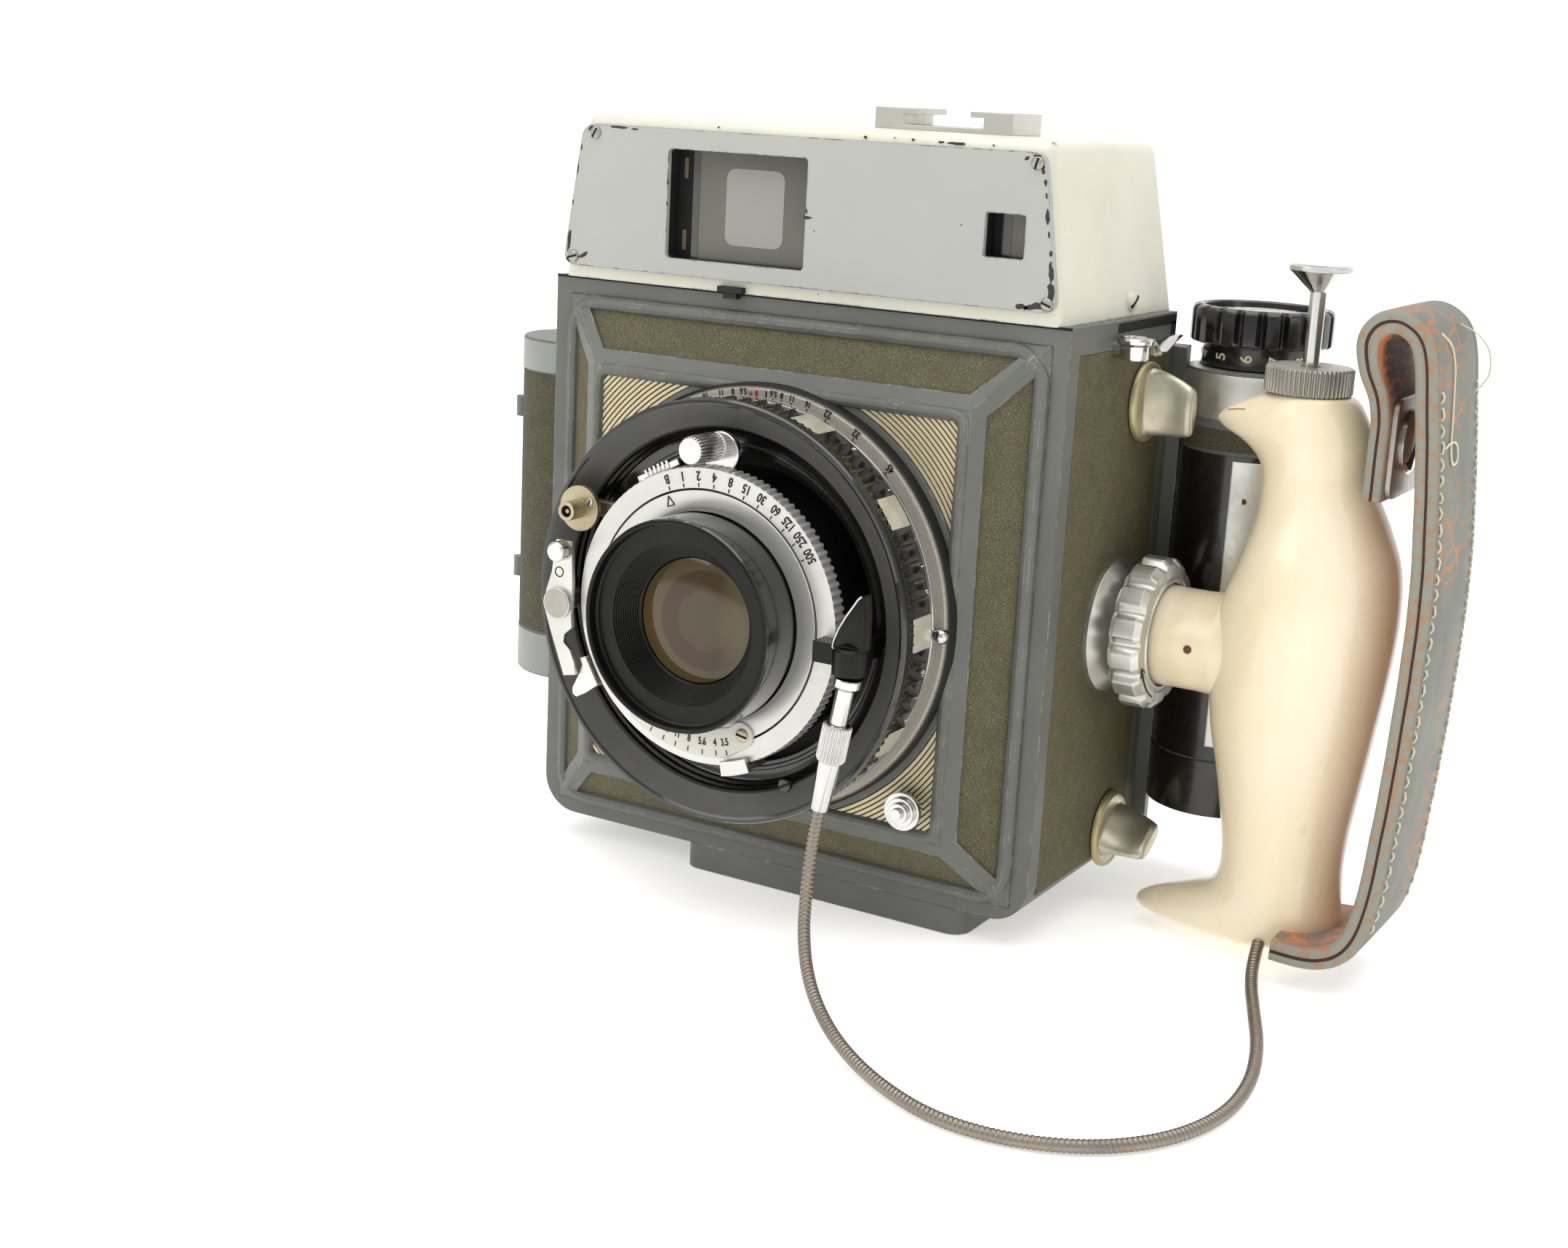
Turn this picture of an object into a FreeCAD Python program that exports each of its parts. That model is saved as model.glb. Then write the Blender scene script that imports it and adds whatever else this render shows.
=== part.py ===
import FreeCAD, Part
import math
import os
import re
import sys

import Sketcher
from FreeCAD import Placement, Rotation, Vector

# Press camera for 120 roll film, with its wide film holder, side grip and cable release.
# +X is the grip side, -Y is where the lens looks, +Z is up. The origin is the mouth of the
# tripod socket, in the plane that the camera stands on. Lengths are in millimetres.

DIMENSIONS = {
    # body casting
    "body_width": 119.2, "body_depth": 54.0, "body_bottom": 5.7, "body_top": 125.0,
    "body_corner": 8.0, "body_wall": 4.8, "front_wall": 3.0, "inlay_depth": 0.8,
    "inlay_front": 22.5, "inlay_back": 23.0, "inlay_low": 11.0, "inlay_high": 119.5,
    "lens_height": 65.0, "lens_bore": 38.6,
    # raised front frame
    "frame_half": 56.0, "frame_low": 8.7, "frame_high": 121.5, "frame_rise": 8.2,
    "square_half": 43.7, "bead": 3.2, "panel_sink": 0.7, "panel_thick": 0.9,
    "grille_half": 41.9, "grille_arc": 45.4, "grille_thick": 0.9,
    # foot and tripod bush
    "foot_left": 22.0, "foot_right": 46.0, "foot_back": 20.0, "bush_radius": 6.0,
    "tripod_thread": 3.175, "bush_height": 8.0,
    # viewfinder housing
    "housing_foot_half": 57.6, "housing_head_half": 52.6, "housing_head": 158.7,
    "housing_front": 27.8, "housing_back_low": 29.6, "housing_back_high": 25.0,
    "housing_wall": 2.2, "plate_low": 127.5, "plate_high": 156.8, "plate_low_half": 56.9,
    "plate_high_half": 52.4, "plate_thick": 1.2, "view_left": -31.0, "view_right": 1.8,
    "view_low": 130.9, "view_high": 152.8, "spot_left": 40.9, "spot_right": 49.3,
    "spot_low": 137.0, "spot_high": 145.2, "pane_margin": 0.9, "pane_thick": 1.5,
    "eye_across": -16.0, "eye_height": 143.0, "eye_radius": 8.5, "eye_hole": 5.0,
    "shoe_across": 12.0, "shoe_half": 15.9, "shoe_channel": 9.35, "shoe_slot": 6.25,
    "shoe_front": 8.0, "shoe_back": 22.0, "shoe_base": 1.0, "shoe_gap": 2.2, "shoe_lip": 1.2,
    # lens mount and focusing, measured forward from the origin's plane
    "scale_radius": 43.9, "scale_front": 38.5, "ring_radius": 42.0, "ring_bore": 38.0,
    "ring_back": 39.6, "ring_front": 49.6, "rim_radius": 42.5, "rim_back": 50.0,
    "rim_front": 53.8, "tube_radius": 37.5, "tube_bore": 35.5, "tube_back": 24.0,
    "dish_floor": 46.5, "dish_bore": 31.5, "web_front": 40.3, "web_thick": 2.3,
    # shutter and its rings
    "drum_radius": 28.0, "drum_front": 53.2, "speed_radius": 29.7, "speed_bore": 25.4,
    "speed_back": 53.5, "speed_front": 57.3, "face_radius": 25.1, "face_front": 57.7,
    "barrel_radius": 21.0, "barrel_front": 67.9, "barrel_back": 58.9, "barrel_seat": 19.8,
    "filter_bore": 19.9, "filter_depth": 2.4, "glass_radius": 12.4, "stack_bore": 17.5,
    "rear_radius": 19.6, "cell_length": 5.0, "blade_reach": 16.8, "iris_opening": 7.5,
    "iris_depth": 46.4, "shutter_depth": 45.0, "blade_thick": 0.2, "scale_reach": 28.0,
    "scale_start": 157, "scale_end": 216, "scale_thick": 0.8,
    # shutter levers, contact and cable socket; angles are clockwise from the top
    "lever_back": 52.0, "lever_front": 53.0, "lever_reach": 36.4, "lever_start": 28.4,
    "knob_radius": 2.8, "knob_front": 63.5, "finger_start": 233.5, "finger_end": 245.5,
    "finger_inner": 30.2, "finger_outer": 31.6, "finger_front": 58.1, "tab_start": 156,
    "tab_end": 168, "tab_leg": 30.1, "tab_inner": 28.5, "tab_outer": 31.4,
    "tab_front": 58.8, "boss_radius": 3.4,
    "contact_across": -31.2, "contact_height": 82.2, "contact_radius": 4.6,
    "contact_back": 55.3, "contact_front": 60.7, "contact_bore": 1.2,
    "pivot_across": -33.5, "pivot_height": 62.9, "socket_across": 35.3, "socket_depth": 62.0,
    "socket_height": 61.0, "ferrule_tilt": 9.8,
    # release button in the lower front corner
    "button_across": 36.4, "button_height": 28.1, "button_radius": 3.9, "button_rise": 4.2,
    # extending back
    "back_half": 62.7, "back_low": 12.0, "back_high": 117.7, "back_front": 27.3,
    "back_rear": 33.5, "gate_half": 46.0, "gate_height_half": 34.0, "rod_across": 49.5,
    "rod_low": 16.0, "rod_high": 107.7, "rod_radius": 3.0, "rod_length": 45.0,
    "lock_depth": 12.0, "lock_radius": 8.2, "lock_shaft": 3.0, "lock_reach": 70.5,
    "wing_half": 6.5, "wing_thick": 4.8, "wing_turn_low": -60.0, "wing_turn_high": 0.0,
    # roll film holder
    "holder_low": 20.5, "holder_high": 104.0, "holder_front": 33.5, "holder_back": 48.3,
    "supply_across": -93.1, "supply_radius": 16.0, "takeup_across": 75.7,
    "takeup_radius": 14.4, "holder_wall": 1.5,
    "holder_lid": 3.0, "split_depth": 31.0, "film_gap": 2.4, "picture_half": 42.0,
    "picture_height_half": 28.0, "spool_radius": 12.5, "spool_half": 33.0, "core_radius": 5.0,
    "knob_low": 119.3, "knob_high": 127.2, "wind_radius": 14.5, "skirt_radius": 11.7,
    "cap_high": 114.3, "slide_half": 44.0, "slide_low": 32.4,
    "hinge_across": -110.6, "hinge_depth": 28.6,
    # side grip
    "grip_depth": 4.2, "grip_height": 62.3, "flange_radius": 13.7, "flange_end": 64.8,
    "lock_ring_start": 65.1, "lock_ring_end": 72.2, "lock_ring_radius": 15.6,
    "neck_radius": 10.2, "neck_end": 90.0, "spigot_radius": 7.5, "grip_flatness": 0.92,
    "plunger_across": 95.8, "collar_radius": 8.4, "collar_low": 114.2, "collar_high": 119.4,
    "plunger_radius": 1.6, "plunger_top": 138.7, "plunger_head": 6.0,
    # hand strap and cable release
    "strap_thick": 3.6, "strap_near": 12.0, "strap_far": 18.0, "sheath_diameter": 2.5,
}
SHEET = "dims"
WORD = re.compile(r"[a-z][a-z_]+")
UNTURNED = Rotation()
# local X, Y and Z become: X, Z and forward; Y, Z and X; X, Y and Z
FACING = {"front": Rotation(Vector(1, 0, 0), 90), "side": Rotation(Vector(1, 1, 1), 120),
          "top": UNTURNED}
# the turning axis, local Y, becomes: Y; X; Z
ALONG = {"Y": UNTURNED, "X": Rotation(Vector(0, 0, 1), -90), "Z": Rotation(Vector(1, 0, 0), 90)}

doc = FreeCAD.newDocument("press_camera")
sheet = doc.addObject("Spreadsheet::Sheet", SHEET)
for row, (name, value) in enumerate(DIMENSIONS.items(), start=1):
    sheet.set(f"A{row}", name)
    sheet.set(f"B{row}", str(value))
    sheet.setAlias(f"B{row}", name)
doc.recompute()
finished = {}


def dim(name):
    return float(sheet.get(name))


def formula(text):
    """Turn every dimension's name in a formula into a reference to its cell."""
    return WORD.sub(lambda found: f"{SHEET}.{found.group()}" if found.group() in DIMENSIONS
                    else found.group(), str(text))


def number(text):
    return float(sheet.evalExpression(formula(text)))


def bind(item, prop, text):
    item.setExpression(prop, formula(text))


def put(item, centre, rotation=UNTURNED):
    """Stand an object at a place whose three coordinates are formulas."""
    item.Placement = Placement(Vector(*[number(text) for text in centre]), rotation)
    for letter, text in zip("xyz", centre):
        bind(item, f"Placement.Base.{letter}", text)
    return item


def keep(node, item):
    """Name a finished sub-part."""
    item.Label = node
    finished[node] = item
    return item


# ---- sketches and PartDesign bodies

def new_body(name, centre, rotation):
    body = doc.addObject("PartDesign::Body", name + "_body")
    return put(body, centre, rotation)


def new_sketch(body, name, start="0"):
    sketch = body.newObject("Sketcher::SketchObject", name)
    plane = next(item for item in body.Origin.OriginFeatures if item.Role == "XY_Plane")
    sketch.AttachmentSupport = [(plane, "")]
    sketch.MapMode = "FlatFace"
    bind(sketch, "AttachmentOffset.Base.z", start)
    return sketch


def tie(sketch, kind, geometry, point, text):
    """Fix one coordinate of a point by a formula, measured from the sketch's origin."""
    index = sketch.addConstraint(Sketcher.Constraint(kind, -1, 1, geometry, point, number(text)))
    sketch.setExpression(f"Constraints[{index}]", formula(text))


def draw_outline(sketch, corners):
    """A closed polygon whose corners all follow the sheet."""
    points = [Vector(number(u), number(v), 0) for u, v in corners]
    first = len(sketch.Geometry)
    count = len(points)
    for index in range(count):
        sketch.addGeometry(Part.LineSegment(points[index], points[(index + 1) % count]), False)
    for index in range(count):
        following = first + (index + 1) % count
        sketch.addConstraint(Sketcher.Constraint("Coincident", first + index, 2, following, 1))
    for index, (u, v) in enumerate(corners):
        tie(sketch, "DistanceX", first + index, 1, u)
        tie(sketch, "DistanceY", first + index, 1, v)


def draw_circle(sketch, u, v, radius):
    circle = Part.Circle(Vector(number(u), number(v), 0), Vector(0, 0, 1), number(radius))
    geometry = sketch.addGeometry(circle, False)
    index = sketch.addConstraint(Sketcher.Constraint("Radius", geometry, number(radius)))
    sketch.setExpression(f"Constraints[{index}]", formula(radius))
    tie(sketch, "DistanceX", geometry, 3, u)
    tie(sketch, "DistanceY", geometry, 3, v)


def rectangle(u0, u1, v0, v1):
    return [(u0, v0), (u1, v0), (u1, v1), (u0, v1)]


def turned(name, axis, centre, profile):
    """A turned piece: its profile is a list of (radius, place along the axis)."""
    body = new_body(name, centre, ALONG[axis])
    sketch = new_sketch(body, name + "_profile")
    draw_outline(sketch, profile)
    solid = body.newObject("PartDesign::Revolution", name + "_turning")
    solid.Profile = sketch
    solid.ReferenceAxis = (sketch, ["V_Axis"])
    solid.Angle = 360
    body.Tip = solid
    return body


def slab(name, facing, outline, start, thickness, holes=(), rounds=(), centre=("0", "0", "0")):
    """A flat piece: an outline padded in the direction it faces, with rectangular holes
    and round ones."""
    body = new_body(name, centre, FACING[facing])
    sketch = new_sketch(body, name + "_outline", start)
    draw_outline(sketch, outline)
    for hole in holes:
        draw_outline(sketch, hole)
    for u, v, radius in rounds:
        draw_circle(sketch, u, v, radius)
    pad = body.newObject("PartDesign::Pad", name + "_pad")
    pad.Profile = sketch
    bind(pad, "Length", thickness)
    body.Tip = pad
    return body


# ---- Part primitives and booleans

def block(name, across, depth, height):
    """A box given by its low and high sides along X, Y and Z."""
    box = doc.addObject("Part::Box", name)
    for prop, (low, high) in zip(("Length", "Width", "Height"), (across, depth, height)):
        bind(box, prop, f"({high}) - ({low})")
    return put(box, (across[0], depth[0], height[0]))


TOWARDS = {"Z": UNTURNED, "X": Rotation(Vector(0, 1, 0), 90), "Y": Rotation(Vector(1, 0, 0), -90)}


def rod(name, towards, base, radius, length):
    cylinder = doc.addObject("Part::Cylinder", name)
    bind(cylinder, "Radius", radius)
    bind(cylinder, "Height", length)
    return put(cylinder, base, TOWARDS[towards])


def wedge(name, low_y, high_y, low_x, low_z, high_x, high_z):
    """A block whose rectangle changes from one end of its local Y to the other."""
    item = doc.addObject("Part::Wedge", name)
    bind(item, "Ymin", low_y)
    bind(item, "Ymax", high_y)
    for props, sides in ((("Xmin", "Xmax"), low_x), (("Zmin", "Zmax"), low_z),
                         (("X2min", "X2max"), high_x), (("Z2min", "Z2max"), high_z)):
        for prop, text in zip(props, sides):
            bind(item, prop, text)
    return item


def join(name, *items):
    union = doc.addObject("Part::MultiFuse", name)
    union.Shapes = list(items)
    union.Refine = True
    return union


def cut(name, base, *tools):
    difference = doc.addObject("Part::Cut", name)
    difference.Base = base
    difference.Tool = tools[0] if len(tools) == 1 else join(name + "_cutters", *tools)
    difference.Refine = True
    return difference


def overlap(name, base, tool):
    common = doc.addObject("Part::Common", name)
    common.Base = base
    common.Tool = tool
    common.Refine = True
    return common


def group(name, *items):
    bundle = doc.addObject("Part::Compound", name)
    bundle.Links = list(items)
    return bundle


def soften(name, base, radius, wanted):
    """Round the edges that a test picks."""
    doc.recompute()
    item = doc.addObject("Part::Fillet", name)
    item.Base = base
    size = dim(radius) if isinstance(radius, str) else radius
    item.Edges = [(index, size, size) for index, edge in enumerate(base.Shape.Edges, start=1)
                  if wanted(edge)]
    return item


def runs_along(edge, direction):
    if len(edge.Vertexes) != 2:
        return False
    chord = edge.Vertexes[1].Point - edge.Vertexes[0].Point
    return chord.Length > 0.5 and abs(chord.normalize().dot(direction)) > 0.99


def shaped(name, shape):
    item = doc.addObject("Part::Feature", name)
    item.Shape = shape
    return item


MIRRORED = (("left", -1), ("right", 1))
LENS = ("0", "0", "lens_height")


# ---- body

def make_body():
    half = "body_width / 2"
    blank = block("body_blank", (f"-{half}", half), ("-body_depth / 2", "body_depth / 2"),
                  ("body_bottom", "body_top"))
    blank = soften("body_rounded", blank, "body_corner",
                   lambda edge: runs_along(edge, Vector(0, 1, 0))
                   and edge.CenterOfMass.z < dim("body_bottom") + 1)
    cutters = [
        block("light_chamber", (f"body_wall - {half}", f"{half} - body_wall"),
              ("front_wall - body_depth / 2", "body_depth / 2"),
              ("body_bottom + body_wall", "body_top - body_wall")),
        rod("front_opening", "Y", ("0", "-body_depth / 2", "lens_height"), "lens_bore",
            "front_wall + 1"),
        rod("bush_seat", "Z", ("0", "0", "body_bottom"), "bush_radius",
            "bush_height - body_bottom")]
    for side, sign in MIRRORED:
        low = f"{half} - inlay_depth" if sign > 0 else f"-{half}"
        high = half if sign > 0 else f"inlay_depth - {half}"
        cutters.append(block(f"inlay_seat_{side}", (low, high), ("-inlay_front", "inlay_back"),
                             ("inlay_low", "inlay_high")))
        for level in ("low", "high"):
            cutters.append(rod(f"lock_hole_{side}_{level}", "X",
                               (f"{sign} * 57 - 6", "lock_depth", f"rod_{level}"),
                               "lock_shaft + 0.3", "12"))
    keep("body_shell", cut("body_shell_cut", blank, *cutters))

    inlays = []
    for side, sign in MIRRORED:
        low = f"{half} - inlay_depth" if sign > 0 else f"-{half}"
        holes = [("lock_depth", f"rod_{level}", "lock_shaft + 0.5") for level in ("low", "high")]
        body = slab(f"inlay_{side}", "side",
                    rectangle("0.1 - inlay_front", "inlay_back - 0.1", "inlay_low + 0.1",
                              "inlay_high - 0.1"), low, "inlay_depth", rounds=holes)
        inlays.append(body)
    keep("side_leather", group("side_leather_pair", *inlays))

    foot = block("foot_blank", ("-foot_left", "foot_right"), ("-body_depth / 2", "foot_back"),
                 ("0", "body_bottom"))
    foot = soften("foot_rounded", foot, 4.0, lambda edge: runs_along(edge, Vector(0, 0, 1)))
    keep("base_foot", cut("base_foot_cut", foot,
                          rod("foot_hole", "Z", ("0", "0", "0"), "bush_radius", "body_bottom")))
    keep("tripod_bush", turned("tripod_bush", "Z", ("0", "0", "0"),
                               [("tripod_thread", "0"), ("bush_radius", "0"),
                                ("bush_radius", "bush_height"), ("tripod_thread", "bush_height")]))

    rods = [(f"{sign} * rod_across", f"rod_{level}", "rod_radius + 0.3")
            for _, sign in MIRRORED for level in ("low", "high")]
    keep("rear_plate", slab(
        "rear_plate", "front",
        rectangle(f"body_wall - {half}", f"{half} - body_wall", "body_bottom + body_wall",
                  "body_top - body_wall"), "-body_depth / 2", "4",
        holes=[rectangle("-gate_half", "gate_half", "lens_height - gate_height_half",
                         "lens_height + gate_height_half")], rounds=rods))


# ---- raised front frame, its leather panels and corner grilles

def slope_panels(sink, thick):
    """The four panels that lie on the frame's slopes, sunk by a depth and of a thickness."""
    outer_y = -dim("body_depth") / 2
    inner_y = outer_y - dim("frame_rise")
    reach = dim("square_half")
    middle = dim("lens_height")
    outer = {(-1, -1): (-dim("frame_half"), dim("frame_low")),
             (1, -1): (dim("frame_half"), dim("frame_low")),
             (1, 1): (dim("frame_half"), dim("frame_high")),
             (-1, 1): (-dim("frame_half"), dim("frame_high"))}
    order = [(-1, -1), (1, -1), (1, 1), (-1, 1)]
    panels = []
    for index, corner in enumerate(order):
        following = order[(index + 1) % 4]
        corners = [Vector(outer[corner][0], outer_y, outer[corner][1]),
                   Vector(outer[following][0], outer_y, outer[following][1]),
                   Vector(following[0] * reach, inner_y, middle + following[1] * reach),
                   Vector(corner[0] * reach, inner_y, middle + corner[1] * reach)]
        along = (corners[1] - corners[0]).normalize()
        inward = (corners[3] - corners[0])
        inward = (inward - along * inward.dot(along)).normalize()
        normal = along.cross(inward).normalize()
        if normal.y > 0:
            normal = normal * -1
        margin = dim("bead")
        rise = inward * margin
        # the end ribs cross the slope at about 45 degrees, so they take more of its length
        low_inset = along * (margin * 1.75)
        high_inset = along * (margin * 0.35)
        outline = [corners[0] + rise * 0.8 + low_inset, corners[1] + rise * 0.8 - low_inset,
                   corners[2] - rise - high_inset, corners[3] - rise + high_inset]
        outline = [point - normal * sink for point in outline]
        face = Part.Face(Part.makePolygon(outline + outline[:1]))
        panels.append(face.extrude(normal * -thick))
    return Part.makeCompound(panels)


def make_front():
    outer = ("-frame_half", "frame_half")
    inner = ("-square_half", "square_half")
    blank = wedge("frame_blank", "-body_depth / 2 - frame_rise", "-body_depth / 2",
                  inner, ("lens_height - square_half", "lens_height + square_half"),
                  outer, ("frame_low", "frame_high"))
    panels = slope_panels(dim("panel_sink"), dim("panel_thick"))
    seats = shaped("panel_seats", slope_panels(0, dim("panel_sink") + dim("panel_thick")))
    front = "-body_depth / 2 - frame_rise"

    def corner_plates(name, thick, start):
        square = block(name + "_square", ("-grille_half", "grille_half"),
                       (start, f"{start} + {thick}"),
                       ("lens_height - grille_half", "lens_height + grille_half"))
        disc = rod(name + "_disc", "Y", ("0", f"{start} - 1", "lens_height"), "grille_arc",
                   f"{thick} + 2")
        return cut(name, square, disc)

    bore = rod("frame_bore", "Y", ("0", f"{front} - 1", "lens_height"), "lens_bore",
               "frame_rise + 2")
    button_hole = rod("button_hole", "Y", ("button_across", f"{front} - 1", "button_height"),
                      "button_radius - 0.6", "frame_rise")
    keep("front_frame", cut("front_frame_cut", blank, seats, bore, button_hole,
                            corner_plates("grille_seats", "grille_thick + 0.3", front)))
    keep("front_leather", shaped("front_leather_panels", panels))
    grilles = corner_plates("grille_plates", "grille_thick", f"{front} + 0.3")
    keep("corner_grilles", cut("corner_grilles_cut", grilles,
                               rod("grille_button_hole", "Y",
                                   ("button_across", f"{front} - 1", "button_height"),
                                   "button_radius - 0.6", "frame_rise")))
    stem = "body_depth / 2 + frame_rise"
    steps = [("0", "-7"), ("button_radius - 1", "-7"), ("button_radius - 1", "0.6"),
             ("button_radius", "0.6"), ("button_radius", "1.6"), ("button_radius - 0.9", "1.6"),
             ("button_radius - 0.9", "2.5"), ("button_radius - 1.8", "2.5"),
             ("button_radius - 1.8", "3.4"), ("button_radius - 2.7", "3.4"),
             ("button_radius - 2.7", "button_rise"), ("0", "button_rise")]
    keep("lens_release_button", turned(
        "lens_release_button", "Y", ("button_across", "0", "button_height"),
        [(radius, f"-({stem}) - ({rise}) - 2") for radius, rise in steps]))


# ---- viewfinder housing

PLATE_SCREWS = (("-49.1", "155.2"), ("-54.3", "129.1"), ("51.0", "155.0"), ("55.1", "129.0"))


def make_finder():
    def shell(name, inset, low, high):
        """The tapered block, with its local Y up."""
        item = wedge(name, low, high,
                     (f"{inset} - housing_foot_half", f"housing_foot_half - {inset}"),
                     (f"{inset} - housing_back_low", f"housing_front - {inset}"),
                     (f"{inset} - housing_head_half", f"housing_head_half - {inset}"),
                     (f"{inset} - housing_back_high", f"housing_front - {inset}"))
        item.Placement = Placement(Vector(), FACING["front"])
        return item

    outer = soften("housing_rounded", shell("housing_blank", "0", "body_top", "housing_head"),
                   2.5, lambda edge: edge.CenterOfMass.z > dim("body_top") + 1)
    hollow = shell("housing_hollow", "housing_wall", "body_top", "housing_head - housing_wall")
    front = "-housing_front"
    openings = []
    panes = []
    for name in ("view", "spot"):
        across = (f"{name}_left - pane_margin", f"{name}_right + pane_margin")
        height = (f"{name}_low - pane_margin", f"{name}_high + pane_margin")
        openings.append(block(f"{name}_opening", across, (front, f"{front} + 4"), height))
        panes.append(block(f"{name}_pane", across, (front, f"{front} + pane_thick"), height))
    eye_hole = rod("eye_opening", "Y", ("eye_across", "20", "eye_height"), "eye_radius - 2", "12")
    keep("finder_housing", cut("finder_housing_cut", outer, hollow, eye_hole, *openings))
    panes.append(rod("eye_pane", "Y", ("eye_across", "28.2", "eye_height"), "eye_hole", "1.2"))
    keep("finder_windows", group("finder_window_panes", *panes))
    keep("finder_front_plate", slab(
        "finder_front_plate", "front",
        [("-plate_low_half", "plate_low"), ("plate_low_half", "plate_low"),
         ("plate_high_half", "plate_high"), ("-plate_high_half", "plate_high")],
        "housing_front", "plate_thick",
        holes=[rectangle("view_left", "view_right", "view_low", "view_high"),
               rectangle("spot_left", "spot_right", "spot_low", "spot_high")]))
    heads = [rod(f"plate_screw_{index}", "Y", (x, "-housing_front - plate_thick - 0.5", z),
                 "1.3", "0.5") for index, (x, z) in enumerate(PLATE_SCREWS)]
    keep("housing_screws", group("housing_screw_heads", *heads))
    keep("finder_eyepiece", turned(
        "finder_eyepiece", "Y", ("eye_across", "0", "eye_height"),
        [("eye_hole", "27"), ("eye_radius - 2.3", "27"), ("eye_radius - 2.3", "30.4"),
         ("eye_radius", "30.4"), ("eye_radius", "33.4"), ("eye_hole + 1", "33.4"),
         ("eye_hole + 1", "29.4"), ("eye_hole", "29.4")]))
    diagonal = Rotation(Vector(0, 0, 1), 45)
    for node, width, height, corner in (
            ("beam_splitter", "22", "20", ("-24", "-16", "131")),
            ("rangefinder_mirror", "12", "12", ("40", "-12", "135"))):
        glass = doc.addObject("Part::Box", node + "_glass")
        for prop, text in (("Length", width), ("Width", "pane_thick"), ("Height", height)):
            bind(glass, prop, text)
        keep(node, put(glass, corner, diagonal))

    floor = "housing_head"
    left = "shoe_across - shoe_half"
    right = "shoe_across + shoe_half"
    depth = ("shoe_front", "shoe_back")
    base = block("shoe_floor", (left, right), depth, (floor, f"{floor} + shoe_base"))
    parts = [base]
    top = f"{floor} + shoe_base + shoe_gap"
    parts.append(block("shoe_wall_left", (left, "shoe_across - shoe_channel"), depth,
                       (floor, f"{top} + shoe_lip")))
    parts.append(block("shoe_wall_right", ("shoe_across + shoe_channel", right), depth,
                       (floor, f"{top} + shoe_lip")))
    parts.append(block("shoe_lip_left", (left, "shoe_across - shoe_slot"), depth,
                       (top, f"{top} + shoe_lip")))
    parts.append(block("shoe_lip_right", ("shoe_across + shoe_slot", right), depth,
                       (top, f"{top} + shoe_lip")))
    keep("accessory_shoe", join("accessory_shoe_join", *parts))


# ---- lens, shutter and their levers

def forward(profile):
    """A turned lens piece's profile, with distances measured towards the front."""
    return [(radius, f"-({distance})") for radius, distance in profile]


def lens_piece(node, profile):
    return keep(node, turned(node, "Y", LENS, forward(profile)))


def sector(inner, outer, start, end, front, thick):
    """Part of a flat ring about the lens axis. Angles are clockwise from the top, seen
    from the front, in degrees."""
    def at(radius, angle):
        turn = math.radians(angle)
        return Vector(radius * math.sin(turn), -front, dim("lens_height") + radius * math.cos(turn))
    middle = (start + end) / 2
    edges = [Part.Arc(at(outer, start), at(outer, middle), at(outer, end)).toShape(),
             Part.LineSegment(at(outer, end), at(inner, end)).toShape(),
             Part.Arc(at(inner, end), at(inner, middle), at(inner, start)).toShape(),
             Part.LineSegment(at(inner, start), at(outer, start)).toShape()]
    return Part.Face(Part.Wire(edges)).extrude(Vector(0, thick, 0))


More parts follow.
